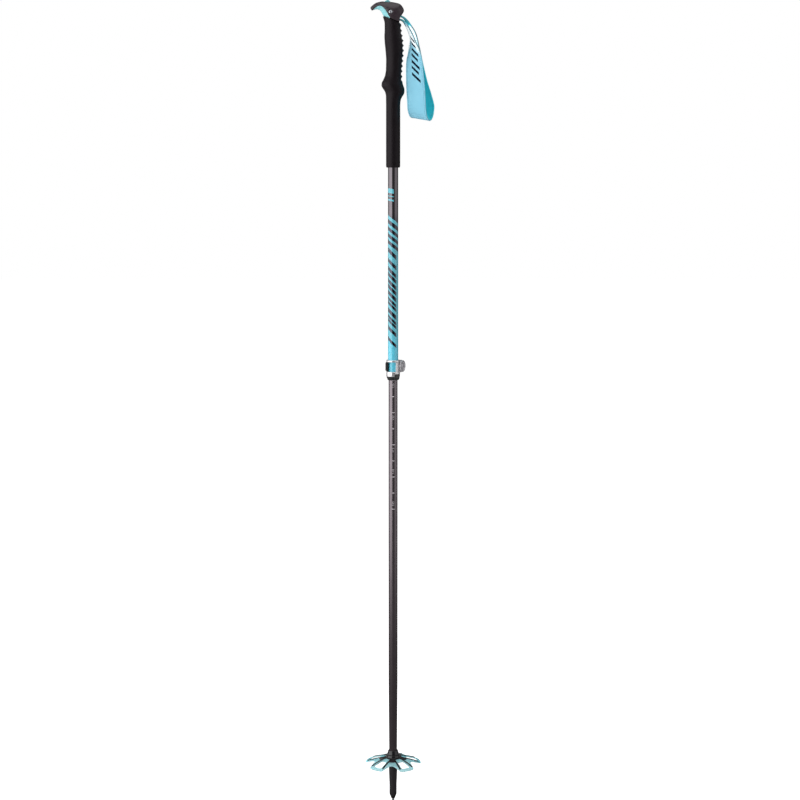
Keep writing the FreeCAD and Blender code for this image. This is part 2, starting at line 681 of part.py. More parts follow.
def clamp_collar():
    """Collar under the tube's end, with a key that fits the band's notch."""
    bore_r = LOWER_R + RUN
    collar = revolve([
        (bore_r, 655.9), (7.9, 655.9), (8.6, 656.5), (10.5, 661.4), (BAND_R0, 661.4),
        (BAND_R0, UPPER_Z0), (bore_r, UPPER_Z0),
    ])
    key = revolve([(BAND_R0, 656.4), (9.6, 656.4), (11.0, 657.8), (11.6, 660.5),
                   (11.6, 664.6), (10.9, 665.5), (BAND_R0, 665.5)])
    key = key.common(wedge(KEY_ANGLES[0] + 0.6, KEY_ANGLES[1] - 0.6, 650, 670))
    return fuse([collar, key]).cut(cylinder(BAND_R0, UPPER_Z0, 700))


def cam_washer():
    return screw_cylinder(4.6, LEVER_EAR_S - 0.6, LEVER_EAR_S).cut(screw_hole())


def knob_washer():
    return screw_cylinder(3.8, KNOB_EAR_S, KNOB_EAR_S + 0.35).cut(screw_hole())


def pivot_barrel():
    barrel = cylinder(BARREL_R, LEVER_Z[0], 684.1, BARREL_X, BARREL_Y)
    return barrel.cut(screw_cylinder(SCREW_R + RUN, -30, 20))


def clamp_screw():
    return screw_cylinder(SCREW_R, BARREL_S - 1.4, SCREW_END)


def adjuster_knob():
    """Knurled wheel fixed on the screw's end, its face dished round a raised hub."""
    start, face = WHEEL_S
    wheel = screw_cylinder(WHEEL_R, start, face)
    wheel = wheel.fuse(screw_cylinder(3.4, 8.4, start))
    wheel = wheel.cut(screw_cylinder(6.6, face - 0.8, face + 1))
    wheel = wheel.fuse(screw_cylinder(2.6, face - 1.0, face + 0.3))
    for i in range(KNURLS):
        out, rise = circle_point(WHEEL_R + 0.35, 2 * math.pi * i / KNURLS)
        wheel = wheel.cut(screw_cylinder(0.85, start - 1, start + 4, SCREW_OUT + out,
                                         SCREW_Z + rise))
    return wheel.cut(screw_cylinder(SCREW_R, 0, SCREW_END)).removeSplitter()


def clamp_lever():
    """Over-centre lever: eccentric lobe on the barrel, arm wrapped round the tube."""
    bottom, top = LEVER_Z
    lobe = cylinder(LOBE_R, bottom, top, *clamp_point(BARREL_S + LOBE_OFFSET, SCREW_OUT))
    arm = ring_arc(ARM_R0, ARM_R1, bottom, top, *ARM_ANGLES)
    arm_start, arm_end = (math.radians(angle) for angle in ARM_ANGLES)
    bridge = prism_xy([
        circle_point(ARM_R1, arm_start), clamp_point(BARREL_S - 3.9, SCREW_OUT + 2.4),
        clamp_point(BARREL_S + 1.0, SCREW_OUT - 4.2), circle_point(ARM_R0, arm_start),
        (-9.1, 2.0), (-11.9, 2.0),
    ], bottom, top)
    lever = fuse([lobe, arm, bridge])
    # flared finger end
    lip = prism_xy([
        circle_point(9.6, arm_end), circle_point(ARM_R1, arm_end - 0.1),
        circle_point(12.9, arm_end + 0.06), circle_point(11.2, arm_end + 0.08),
    ], bottom, top)
    lever = fuse([lever, lip])
    lever = lever.cut(cylinder(8.6, *CLAMP_SPAN))
    # the part below y = 4 has bevelled long edges, from cones about the pole's axis
    bevelled = revolve([(0, bottom), (10.9, bottom), (13.2, bottom + BEVEL_H),
                        (13.2, top - BEVEL_H), (10.9, top), (0, top)])
    bevel_side = prism_xy([(-40, -40), (40, -40), (40, 4.0), (-40, 4.0)], *CLAMP_SPAN)
    lever = fuse([lever.common(bevel_side).common(bevelled), lever.cut(bevel_side)])
    lever = lever.cut(cylinder(BARREL_R + RUN, *CLAMP_SPAN, BARREL_X, BARREL_Y))
    # clearance for the screw through the lobe, open over the lever's swing
    slot_z = (SCREW_Z - SCREW_SLOT_HALF, SCREW_Z + SCREW_SLOT_HALF)
    lever = lever.cut(clamp_block(BARREL_S - 2.2, BARREL_S + 20, SCREW_OUT - SCREW_SLOT_HALF,
                                  SCREW_OUT + 20, *slot_z))
    swing = [(BARREL_X, BARREL_Y)]
    for angle in (-40, -26, 0, 30, 60, 94, 118, 142):
        x, y = circle_point(40, math.radians(angle))
        swing.append((BARREL_X + x, BARREL_Y + y))
    lever = lever.cut(cylinder(40, *slot_z, BARREL_X, BARREL_Y).common(
        prism_xy(swing, *CLAMP_SPAN)))
    return largest_solid(lever.removeSplitter())


# ---------------------------------------------------------------- write
# each file takes its function's name
for build in (
    lower_shaft, tip_body, tip_ferrule, carbide_point, shaft_plug, glide_ring,
    basket_web, basket_frame, upper_tube, tube_plug, grip_foam,
    crest_insert, grip_head, head_inlay, strap_tail, strap_wedge, strap_bolt, strap_nut,
    strap_loop, clamp_band, clamp_collar, cam_washer, knob_washer, pivot_barrel,
    clamp_screw, adjuster_knob, clamp_lever,
):
    export(build.__name__, build())
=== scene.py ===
import json
import math

import bmesh
import bpy
import numpy as np
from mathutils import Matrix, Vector

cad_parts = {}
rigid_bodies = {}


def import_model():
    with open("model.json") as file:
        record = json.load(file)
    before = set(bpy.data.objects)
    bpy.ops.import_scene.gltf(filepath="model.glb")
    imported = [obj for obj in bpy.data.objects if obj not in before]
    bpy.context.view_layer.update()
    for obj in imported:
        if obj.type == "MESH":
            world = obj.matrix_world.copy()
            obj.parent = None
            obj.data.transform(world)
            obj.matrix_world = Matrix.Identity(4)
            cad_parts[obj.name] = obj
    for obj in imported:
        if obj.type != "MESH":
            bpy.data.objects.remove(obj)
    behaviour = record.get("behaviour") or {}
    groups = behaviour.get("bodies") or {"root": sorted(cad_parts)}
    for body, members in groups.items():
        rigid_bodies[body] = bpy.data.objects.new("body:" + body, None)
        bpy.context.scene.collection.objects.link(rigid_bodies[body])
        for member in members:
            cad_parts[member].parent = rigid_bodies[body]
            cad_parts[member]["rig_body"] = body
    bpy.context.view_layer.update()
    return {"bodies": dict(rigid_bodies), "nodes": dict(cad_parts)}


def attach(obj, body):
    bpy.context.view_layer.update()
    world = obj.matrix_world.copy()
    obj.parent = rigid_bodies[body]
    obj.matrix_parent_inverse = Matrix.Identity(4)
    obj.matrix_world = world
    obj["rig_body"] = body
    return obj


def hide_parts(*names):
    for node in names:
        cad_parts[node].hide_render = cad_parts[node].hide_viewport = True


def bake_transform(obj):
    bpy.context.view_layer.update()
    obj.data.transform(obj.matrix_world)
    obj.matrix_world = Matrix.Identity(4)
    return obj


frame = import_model()
NODES = frame["nodes"]
BODY = {n: o["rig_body"] for n, o in NODES.items()}
SCENE = bpy.context.scene
MM = 0.001


# ------------------------------------------------------------------ node helpers
class Mat:
    """A node material with a Principled surface and short ways to wire it."""

    def __init__(self, name, **kw):
        self.m = bpy.data.materials.new(name)
        self.m.use_nodes = True
        self.t = self.m.node_tree
        self.t.nodes.clear()
        self.out = self.t.nodes.new("ShaderNodeOutputMaterial")
        self.b = self.t.nodes.new("ShaderNodeBsdfPrincipled")
        self.t.links.new(self.b.outputs[0], self.out.inputs[0])
        for k, v in kw.items():
            self.put(k, v)

    def put(self, name, v):
        s = self.b.inputs[name.replace("_", " ")]
        if isinstance(v, bpy.types.NodeSocket):
            self.t.links.new(v, s)
        elif isinstance(v, (tuple, list)):
            s.default_value = tuple(v) + ((1.0,) if len(v) == 3 and len(s.default_value) == 4 else ())
        else:
            s.default_value = v

    def wire(self, s, v):
        if isinstance(v, bpy.types.NodeSocket):
            self.t.links.new(v, s)
        elif isinstance(v, (tuple, list)):
            s.default_value = tuple(v) + ((1.0,) if len(v) == 3 and len(s.default_value) == 4 else ())
        else:
            s.default_value = v

    def node(self, kind, ins=None, **props):
        n = self.t.nodes.new(kind)
        for k, v in props.items():
            setattr(n, k, v)
        for k, v in (ins or {}).items():
            self.wire(n.inputs[k], v)
        return n

    def f(self, op, a, b=None, c=None, clamp=False):
        n = self.node("ShaderNodeMath", operation=op, use_clamp=clamp)
        for i, v in enumerate((a, b, c)):
            if v is not None:
                self.wire(n.inputs[i], v)
        return n.outputs[0]

    def mix(self, fac, a, b):
        n = self.node("ShaderNodeMix", data_type="RGBA")
        self.wire(n.inputs[0], fac)
        self.wire(n.inputs[6], a)
        self.wire(n.inputs[7], b)
        return n.outputs[2]

    def mm(self):
        """Object position in millimetres."""
        tc = self.node("ShaderNodeTexCoord")
        v = self.node("ShaderNodeVectorMath", operation="SCALE")
        self.wire(v.inputs[0], tc.outputs["Object"])
        v.inputs["Scale"].default_value = 1000.0
        return v.outputs[0]

    def uv_mm(self, name):
        u = self.node("ShaderNodeUVMap", uv_map=name)
        v = self.node("ShaderNodeVectorMath", operation="SCALE")
        self.wire(v.inputs[0], u.outputs[0])
        v.inputs["Scale"].default_value = 1000.0
        return v.outputs[0]

    def xyz(self, v):
        n = self.node("ShaderNodeSeparateXYZ", {0: v})
        return n.outputs[0], n.outputs[1], n.outputs[2]

    def stretch(self, v, sx, sy, sz):
        n = self.node("ShaderNodeVectorMath", operation="MULTIPLY")
        self.wire(n.inputs[0], v)
        n.inputs[1].default_value = (sx, sy, sz)
        return n.outputs[0]

    def noise(self, v, scale, detail=2.0, rough=0.5):
        """scale is 1 / size of a cell in millimetres."""
        n = self.node("ShaderNodeTexNoise", {"Vector": v, "Scale": scale, "Detail": detail, "Roughness": rough})
        return n.outputs[0]

    def cells(self, v, scale):
        n = self.node("ShaderNodeTexVoronoi", {"Vector": v, "Scale": scale})
        return n.outputs[0]

    def rng(self, v, a0, a1, b0, b1, smooth=False):
        n = self.node("ShaderNodeMapRange", interpolation_type="SMOOTHSTEP" if smooth else "LINEAR")
        self.wire(n.inputs[0], v)
        for i, q in enumerate((a0, a1, b0, b1)):
            self.wire(n.inputs[i + 1], q)
        return n.outputs[0]

    def round_edges(self, radius_mm):
        n = self.node("ShaderNodeBevel", samples=4)
        n.inputs["Radius"].default_value = radius_mm * MM
        return n.outputs[0]

    def bump(self, height, strength, dist_mm, normal=None):
        n = self.node("ShaderNodeBump", {"Height": height, "Strength": strength, "Distance": dist_mm * MM})
        if normal is not None:
            self.wire(n.inputs["Normal"], normal)
        self.put("Normal", n.outputs[0])
        return n.outputs[0]

    def band(self, v, a, b, soft=0.08):
        """1 where a < v < b, with an edge soft mm wide."""
        lo = self.rng(v, a - soft, a + soft, 0.0, 1.0)
        hi = self.rng(v, b - soft, b + soft, 1.0, 0.0)
        return self.f("MULTIPLY", lo, hi)


def shade(M, base, spread=0.12, cell=6.0, seed_shift=0.0):
    """base colour with a slow, faint variation over the surface."""
    v = M.mm()
    n = M.noise(v, 1.0 / cell, 3.0, 0.6)
    lo = tuple(max(0.0, c * (1 - spread)) for c in base)
    hi = tuple(min(1.0, c * (1 + spread)) for c in base)
    return M.mix(M.rng(n, 0.3, 0.7, 0.0, 1.0), lo, hi)


# ------------------------------------------------------------------ materials
def mat_foam():
    M = Mat("foam", Specular_IOR_Level=0.20, Specular_Tint=(1.0, 0.92, 0.97), Sheen_Weight=0.12, Sheen_Roughness=0.30,
            Sheen_Tint=(1.0, 0.95, 0.98))
    v = M.mm()
    grain = M.noise(v, 1.6, 3.0, 0.65)
    pores = M.cells(v, 1.9)
    slow = M.noise(v, 0.06, 2.0)
    tone = M.f("ADD", M.f("MULTIPLY", grain, 0.55), M.f("MULTIPLY", slow, 0.45))
    M.put("Base_Color", M.mix(M.rng(tone, 0.3, 0.7, 0.0, 1.0), (0.0050, 0.0032, 0.0044), (0.0105, 0.0076, 0.0096)))
    M.put("Roughness", M.rng(grain, 0.3, 0.7, 0.38, 0.52))
    h = M.f("ADD", M.f("MULTIPLY", pores, 0.6), M.f("MULTIPLY", grain, 0.6))
    M.bump(h, 0.45, 0.15)
    return M.m


def mat_head():
    M = Mat("head_black", Specular_IOR_Level=0.42)
    v = M.mm()
    spark = M.noise(v, 2.6, 2.0, 0.6)
    slow = M.noise(v, 0.12, 3.0)
    x, _, z = M.xyz(v)
    # painted shade: a near-black, barely reflective line along the seam with the foam stands in for the shadow in the
    # groove
    seam_shade = M.rng(M.f("ADD", z, M.f("MULTIPLY", x, 0.42)), 1217.5, 1218.2, 1.0, 0.0)
    body = M.mix(M.rng(slow, 0.3, 0.7, 0.0, 1.0), (0.0330, 0.0190, 0.0275), (0.0450, 0.0300, 0.0390))
    M.put("Base_Color", M.mix(seam_shade, body, (0.001, 0.001, 0.001)))
    M.put("Specular_IOR_Level", M.rng(seam_shade, 0.0, 1.0, 0.55, 0.05))
    M.put("Roughness", M.rng(spark, 0.3, 0.7, 0.34, 0.44))
    M.bump(spark, 0.22, 0.05)
    return M.m


def mat_cyan_rubber(name, lo, hi):
    M = Mat(name, Specular_IOR_Level=0.4, Subsurface_Weight=0.08, Subsurface_Radius=(0.001, 0.002, 0.002),
            Subsurface_Scale=1.0)
    v = M.mm()
    g = M.noise(v, 2.2, 2.0, 0.6)
    slow = M.noise(v, 0.15, 2.0)
    M.put("Base_Color", M.mix(M.rng(slow, 0.3, 0.7, 0.0, 1.0), lo, hi))
    M.put("Roughness", M.rng(g, 0.3, 0.7, 0.42, 0.54))
    M.bump(g, 0.2, 0.05)
    return M.m


CYAN = (0.150, 0.610, 0.735)
BLACK = (0.150, 0.130, 0.145)


def mat_tube():
    """Gloss black lacquer with a printed cyan pattern: four slanted stripes, then solid cyan with slanted black bars."""
    M = Mat("upper_paint", Coat_Weight=0.9, Coat_Roughness=0.035, Specular_IOR_Level=0.5)
    v = M.mm()
    x, y, z = M.xyz(v)
    xr = M.f("MINIMUM", M.f("MAXIMUM", M.f("DIVIDE", x, 8.0), -0.9999), 0.9999)
    ang = M.f("ARCSINE", xr)
    p = M.f("ADD", z, M.f("MULTIPLY", ang, 5.73))
    solid = M.rng(p, 862.2, 862.4, 1.0, 0.0)
    cyan = solid
    for a, b in ((868.6, 872.8), (878.8, 883.2), (889.1, 893.9), (900.9, 906.6)):
        cyan = M.f("MAXIMUM", cyan, M.band(p, a, b))
    # slanted black bars on the cyan part, on the left two thirds of each face
    side = M.band(ang, -1.22, 0.70, 0.012)
    p2 = M.f("ADD", z, M.f("MULTIPLY", ang, 7.5))
    black = None
    for c, w in ((851.5, 7.2), (835.2, 6.4), (822.3, 6.4), (813.7, 6.4), (803.6, 6.4), (795.0, 6.4), (785.4, 6.8), (776.1, 5.0),
                 (769.5, 5.0), (758.0, 7.2), (748.5, 4.6), (742.5, 4.6), (730.7, 6.2), (713.5, 5.6)):
        b = M.band(p2, c - w / 2, c + w / 2)
        black = b if black is None else M.f("MAXIMUM", black, b)
    black = M.f("MULTIPLY", black, side)
    cyan = M.f("MULTIPLY", cyan, M.f("SUBTRACT", 1.0, black))
    # three short level marks near the top of the tube
    left = M.band(ang, -1.35, 0.12, 0.012)
    p3 = M.f("ADD", z, M.f("MULTIPLY", ang, 1.2))
    marks = M.f("MAXIMUM", M.band(p3, 946.6, 953.6), M.f("MAXIMUM", M.band(p3, 941.2, 942.4), M.band(p3, 934.4, 937.0)))
    cyan = M.f("MAXIMUM", cyan, M.f("MULTIPLY", marks, left))
    slow = M.noise(v, 0.05, 3.0)
    c1 = M.mix(M.rng(slow, 0.3, 0.7, 0.0, 1.0), tuple(c * 0.93 for c in CYAN), tuple(min(1, c * 1.06) for c in CYAN))
    # the paint runs bluer towards the clamp, and the printed dark parts are deeper than the bare top
    c1 = M.mix(M.rng(z, 708.0, 732.0, 1.0, 0.0), c1, (0.150, 0.735, 0.950))
    dark = M.mix(M.rng(z, 900.0, 916.0, 0.0, 1.0), (0.060, 0.058, 0.082), BLACK)
    M.put("Base_Color", M.mix(cyan, dark, c1))
    M.put("Metallic", M.rng(cyan, 0.0, 1.0, 1.0, 0.0))
    # orange-peel of the lacquer and a few hairline rub marks along the tube
    rub = M.noise(M.stretch(v, 3.0, 3.0, 0.06), 1.0, 2.0, 0.6)
    M.put("Roughness", M.rng(rub, 0.35, 0.75, 0.08, 0.15))
    peel = M.noise(v, 0.9, 1.0)
    M.bump(M.f("ADD", M.f("MULTIPLY", peel, 0.5), M.f("MULTIPLY", cyan, 0.5)), 0.06, 0.03, M.round_edges(0.15))
    return M.m


def mat_shaft():
    """Anthracite anodised alloy, with drawing lines along the tube, and painted shade darkening it towards the bottom.
    """
    M = Mat("anthracite_alloy", Metallic=0.92, Specular_IOR_Level=0.5)
    v = M.mm()
    line = M.noise(M.stretch(v, 4.0, 4.0, 0.02), 1.0, 3.0, 0.65)
    slow = M.noise(v, 0.03, 3.0)
    fac = M.rng(M.f("ADD", M.f("MULTIPLY", line, 0.5), M.f("MULTIPLY", slow, 0.5)), 0.3, 0.7, 0.0, 1.0)
    z = M.xyz(v)[2]
    # painted shade: the colour darkens from z 640 down to z 150, standing in for the dimmer light near the floor
    painted_shade = M.rng(z, 150.0, 640.0, 0.0, 1.0)
    M.put("Base_Color", M.mix(painted_shade, M.mix(fac, (0.082, 0.064, 0.072), (0.105, 0.086, 0.094)),
                              M.mix(fac, (0.200, 0.172, 0.187), (0.255, 0.222, 0.240))))
    M.put("Roughness", M.rng(line, 0.3, 0.7, 0.18, 0.27))
    M.bump(line, 0.10, 0.02, M.round_edges(0.2))
    return M.m


def mat_metal(name, base, r0, r1, scratch=(2.5, 2.5, 2.5), bump=0.06, edge=0.25, metallic=1.0):
    M = Mat(name, Metallic=metallic)
    v = M.mm()
    a = M.noise(M.stretch(v, *scratch), 1.0, 4.0, 0.7)
    b = M.noise(v, 0.25, 3.0)
    mixf = M.f("ADD", M.f("MULTIPLY", a, 0.5), M.f("MULTIPLY", b, 0.5))
    lo = tuple(c * 0.93 for c in base)
    hi = tuple(min(1.0, c * 1.05) for c in base)
    M.put("Base_Color", M.mix(M.rng(mixf, 0.3, 0.7, 0.0, 1.0), lo, hi))
    M.put("Roughness", M.rng(a, 0.3, 0.7, r0, r1))
    M.bump(a, bump, 0.02, M.round_edges(edge))
    return M.m


def mat_plastic(name, base, r0, r1, grain=2.2, bump=0.15, edge=0.25, coat=0.0, spec=0.5):
    M = Mat(name, Specular_IOR_Level=spec, Coat_Weight=coat, Coat_Roughness=0.05)
    v = M.mm()
    g = M.noise(v, grain, 2.0, 0.6)
    slow = M.noise(v, 0.12, 3.0)
    lo = tuple(c * 0.82 for c in base)
    hi = tuple(min(1.0, c * 1.18) for c in base)
    M.put("Base_Color", M.mix(M.rng(slow, 0.3, 0.7, 0.0, 1.0), lo, hi))
    M.put("Roughness", M.rng(g, 0.3, 0.7, r0, r1))
    M.bump(g, bump, 0.04, M.round_edges(edge) if edge else None)
    return M.m


def mat_tip():
    """Black moulded tip: glossy on the collar under the basket, matt with wear lower down."""
    M = Mat("tip_plastic", Specular_IOR_Level=0.5, Coat_Roughness=0.06)
    v = M.mm()
    z = M.xyz(v)[2]
    up = M.rng(z, 54.0, 58.0, 0.0, 1.0)
    g = M.noise(v, 1.8, 2.0, 0.6)
    slow = M.noise(v, 0.12, 3.0)
    wear = M.noise(M.stretch(v, 1.6, 1.6, 0.25), 1.0, 3.0, 0.7)
    low = M.mix(M.rng(slow, 0.3, 0.7, 0.0, 1.0), (0.0122, 0.0080, 0.0104), (0.0170, 0.0114, 0.0146))
    low = M.mix(M.rng(wear, 0.62, 0.78, 0.0, 0.5), low, (0.032, 0.028, 0.030))
    M.put("Base_Color", M.mix(up, low, (0.0048, 0.0036, 0.0050)))
    M.put("Roughness", M.f("ADD", M.rng(up, 0.0, 1.0, 0.40, 0.15), M.f("MULTIPLY", g, 0.10)))
    M.put("Coat_Weight", M.f("MULTIPLY", up, 0.4))
    M.bump(g, 0.10, 0.04, M.round_edges(0.2))
    return M.m


def mat_clear():
    """Milky, see-through cyan of the basket's web."""
    M = Mat("cyan_clear", Specular_IOR_Level=0.5, Transmission_Weight=0.46, IOR=1.20)
    v = M.mm()
    slow = M.noise(v, 0.10, 3.0)
    lw = M.node("ShaderNodeLayerWeight", {"Blend": 0.35})
    rim = M.rng(lw.outputs["Facing"], 0.15, 0.75, 0.0, 1.0)
    pale = M.mix(M.rng(slow, 0.3, 0.7, 0.0, 1.0), (0.600, 0.900, 0.930), (0.680, 0.930, 0.950))
    M.put("Base_Color", M.mix(rim, pale, (0.230, 0.700, 0.790)))
    g = M.noise(v, 0.5, 2.0, 0.5)
    M.put("Roughness", M.rng(g, 0.3, 0.7, 0.26, 0.36))
    M.bump(g, 0.06, 0.05)
    return M.m


def weave_height(M, u, w, pitch_u, pitch_w):
    """Plain weave: two sets of rounded yarns that pass over and under each other."""
    a = M.f("SINE", M.f("MULTIPLY", u, 2 * math.pi / pitch_u))
    b = M.f("SINE", M.f("MULTIPLY", w, 2 * math.pi / pitch_w))
    ab = M.f("MULTIPLY", a, b)
    fine = M.f("ABSOLUTE", M.f("SINE", M.f("MULTIPLY", w, 2 * math.pi / pitch_w)))
    return M.f("ADD", M.f("MULTIPLY", ab, 0.35), M.f("MULTIPLY", fine, 0.4)), ab


def mat_webbing(name, light, dark, painted_shade, printed, painted_glow=0.0):
    """Woven webbing. The edge map holds each point's distance from the border and how much painted highlight (+) or
    painted shade (-) that stretch gets.
    """
    M = Mat(name, Specular_IOR_Level=0.25, Sheen_Weight=0.15, Sheen_Roughness=0.5, Sheen_Tint=(0.85, 0.95, 1.0))
    uv = M.uv_mm("strap")
    u, w, _ = M.xyz(uv)
    de, painted_light_map, _ = M.xyz(M.uv_mm("edge"))
    h, ab = weave_height(M, u, w, 1.25, 1.6)
    fuzz = M.noise(uv, 1.3, 3.0, 0.7)
    slow = M.noise(uv, 0.06, 2.0)
    tone = M.f("ADD", M.f("MULTIPLY", M.rng(ab, -1.0, 1.0, 0.0, 1.0), 0.45),
               M.f("ADD", M.f("MULTIPLY", fuzz, 0.35), M.f("MULTIPLY", slow, 0.35)))
    fac = M.rng(tone, 0.25, 0.9, 0.0, 1.0)
    col = M.mix(fac, dark, light)
    # the stretch below the head is painted light: a painted highlight makes it near-white, its borders keep a darker
    # grey-teal as painted shade, and painted shade turns it deep teal where it enters the head
    pale = M.f("MAXIMUM", painted_light_map, 0.0)
    painted_entry_shade = M.f("MAXIMUM", M.f("MULTIPLY", painted_light_map, -1.0), 0.0)
    painted_highlight = M.mix(fac, (0.78, 0.86, 0.88), (0.92, 0.97, 0.98))
    border = M.rng(de, 0.5, 1.5, 1.0, 0.0)
    painted_highlight = M.mix(border, painted_highlight, (0.20, 0.34, 0.38))
    col = M.mix(pale, col, painted_highlight)
    col = M.mix(painted_entry_shade, col, M.mix(fac, tuple(c * 0.7 for c in painted_shade), painted_shade))
    rough = M.rng(fuzz, 0.3, 0.7, 0.62, 0.78)
    if printed:
        u0, u1 = printed
        along = M.f("SUBTRACT", M.f("SUBTRACT", u, u0), M.f("MULTIPLY", w, 0.95))
        q = M.f("FRACT", M.f("DIVIDE", along, 20.0))
        long_bar = M.band(q, 0.02, 0.250, 0.006)
        short_bar = M.band(q, 0.50, 0.720, 0.006)
        bar = M.f("MAXIMUM", M.f("MULTIPLY", long_bar, M.band(w, -4.6, 10.4, 0.15)),
                  M.f("MULTIPLY", short_bar, M.band(w, -4.6, 8.2, 0.15)))
        ink = M.f("MULTIPLY", bar, M.band(along, -0.2, u1 - u0, 0.1))
        col = M.mix(ink, col, M.mix(fuzz, (0.0015, 0.006, 0.018), (0.004, 0.013, 0.032)))
        M.put("Sheen_Weight", M.f("MULTIPLY", M.f("SUBTRACT", 1.0, ink), 0.15))
        M.put("Specular_IOR_Level", M.rng(ink, 0.0, 1.0, 0.25, 0.06))
    M.put("Base_Color", col)
    M.put("Roughness", rough)
    # painted glow: the webbing emits its own colour, strongest on the painted-highlight stretch away from its borders,
    # plus an even glow set by the caller
    M.put("Emission_Color", col)
    M.put("Emission_Strength", M.f("ADD", M.f("MULTIPLY", M.f("MULTIPLY", pale, 0.46), M.f("SUBTRACT", 1.0, border)), painted_glow))
    M.bump(M.f("ADD", h, M.f("MULTIPLY", fuzz, 0.3)), 0.55, 0.14)
    return M.m


def mat_thread():
    M = Mat("thread", Specular_IOR_Level=0.3, Sheen_Weight=0.3)
    v = M.mm()
    g = M.noise(v, 5.0, 2.0)
    M.put("Base_Color", M.mix(g, (0.06, 0.36, 0.48), (0.12, 0.50, 0.62)))
    M.put("Roughness", 0.6)
    M.bump(g, 0.3, 0.05)
    return M.m


def mat_print():
    M = Mat("scale_ink", Specular_IOR_Level=0.4)
    v = M.mm()
    g = M.noise(v, 3.0, 3.0)
    M.put("Base_Color", M.mix(g, (0.50, 0.46, 0.49), (0.66, 0.62, 0.65)))
    M.put("Roughness", M.rng(g, 0.3, 0.7, 0.42, 0.55))
    return M.m


FOAM = mat_foam()
HEAD = mat_head()
RUBBER = mat_cyan_rubber("cyan_rubber", (0.310, 0.750, 0.805), (0.370, 0.810, 0.855))
# painted shade: the crest insert is a darker copy of the cyan rubber, standing in for the shade on the recessed insert
CREST = mat_cyan_rubber("crest_rubber", (0.170, 0.500, 0.545), (0.210, 0.560, 0.600))
TUBE = mat_tube()
SHAFT = mat_shaft()
POLISHED = mat_metal("polished_aluminium", (0.92, 0.905, 0.925), 0.16, 0.26, (1.2, 1.2, 6.0), 0.03, 0.3, 0.72)
SATIN = mat_metal("satin_aluminium", (0.88, 0.865, 0.905), 0.24, 0.34, (1.4, 1.4, 1.4), 0.04, 0.2, 0.62)
STEEL = mat_metal("steel", (0.66, 0.665, 0.68), 0.14, 0.24, (3.0, 3.0, 3.0), 0.06, 0.2)
BRIGHT_STEEL = mat_metal("bright_steel", (0.80, 0.82, 0.87), 0.26, 0.36, (2.0, 2.0, 2.0), 0.03, 0.1)
DARK_STEEL = mat_metal("dark_steel", (0.050, 0.043, 0.042), 0.30, 0.42, (2.0, 2.0, 4.0), 0.10, 0.15)
CARBIDE = mat_metal("carbide", (0.36, 0.35, 0.34), 0.30, 0.45, (4.0, 4.0, 4.0), 0.2, 0.1)
BLACK_PLASTIC = mat_plastic("black_plastic", (0.0036, 0.0044, 0.0054), 0.30, 0.42, 1.8, 0.06, 0.3, coat=0.06, spec=0.24)
TIP_PLASTIC = mat_tip()
COLLAR_BLACK = mat_plastic("collar_black", (0.0060, 0.0056, 0.0064), 0.26, 0.36, 1.8, 0.06, 0.3, coat=0.9)
GLOSS_BLACK = mat_plastic("gloss_black", (0.0042, 0.0032, 0.0048), 0.14, 0.24, 1.2, 0.05, 0.3, coat=0.4)
INNER_PLASTIC = mat_plastic("inner_plastic", (0.030, 0.030, 0.032), 0.40, 0.55, 2.0, 0.15, 0.2)
CLEAR = mat_clear()
THREAD = mat_thread()
INK = mat_print()


# ------------------------------------------------------------------ mesh helpers
def add_mesh(name, verts_mm, faces, mats, smooth=True, face_mat=None, uv=None, uv_name="strap"):
    me = bpy.data.meshes.new(name)
    me.from_pydata([tuple(p) for p in np.asarray(verts_mm, float) * MM], [], faces)
    for m in mats:
        me.materials.append(m)
    if face_mat is not None:
        me.polygons.foreach_set("material_index", np.asarray(face_mat, np.int32))
    if smooth:
        me.polygons.foreach_set("use_smooth", np.ones(len(me.polygons), bool))
    if uv is not None:
        layer = me.uv_layers.new(name=uv_name)
        idx = np.zeros(len(me.loops), np.int32)
        me.loops.foreach_get("vertex_index", idx)
        if callable(uv):
            flat = uv(me, idx)
        else:
            flat = np.asarray(uv, float)[idx] * MM
        layer.data.foreach_set("uv", np.asarray(flat, np.float32).ravel())
    me.update()
    ob = bpy.data.objects.new(name, me)
    SCENE.collection.objects.link(ob)
    return ob


def fix_normals(ob):
    bm = bmesh.new()
    bm.from_mesh(ob.data)
    bmesh.ops.recalc_face_normals(bm, faces=bm.faces)
    bm.to_mesh(ob.data)
    bm.free()


def fillet(profile, radii, n=5):
    """Round a closed (r, z) outline's corners; radii is one number or one per corner."""
    out = []
    N = len(profile)
    for i in range(N):
        p = np.array(profile[i], float)
        a = np.array(profile[i - 1], float)
        b = np.array(profile[(i + 1) % N], float)
        r = radii[i] if isinstance(radii, (list, tuple)) else radii
        da, db = a - p, b - p
        la, lb = np.linalg.norm(da), np.linalg.norm(db)
        if r <= 0 or la < 1e-6 or lb < 1e-6 or p[0] < 1e-6:
            out.append(tuple(p))
            continue
        t = min(r, la * 0.45, lb * 0.45)
        q0, q1 = p + da / la * t, p + db / lb * t
        for k in range(n + 1):
            s = k / n
            out.append(tuple((1 - s) ** 2 * q0 + 2 * s * (1 - s) * p + s ** 2 * q1))
    return out


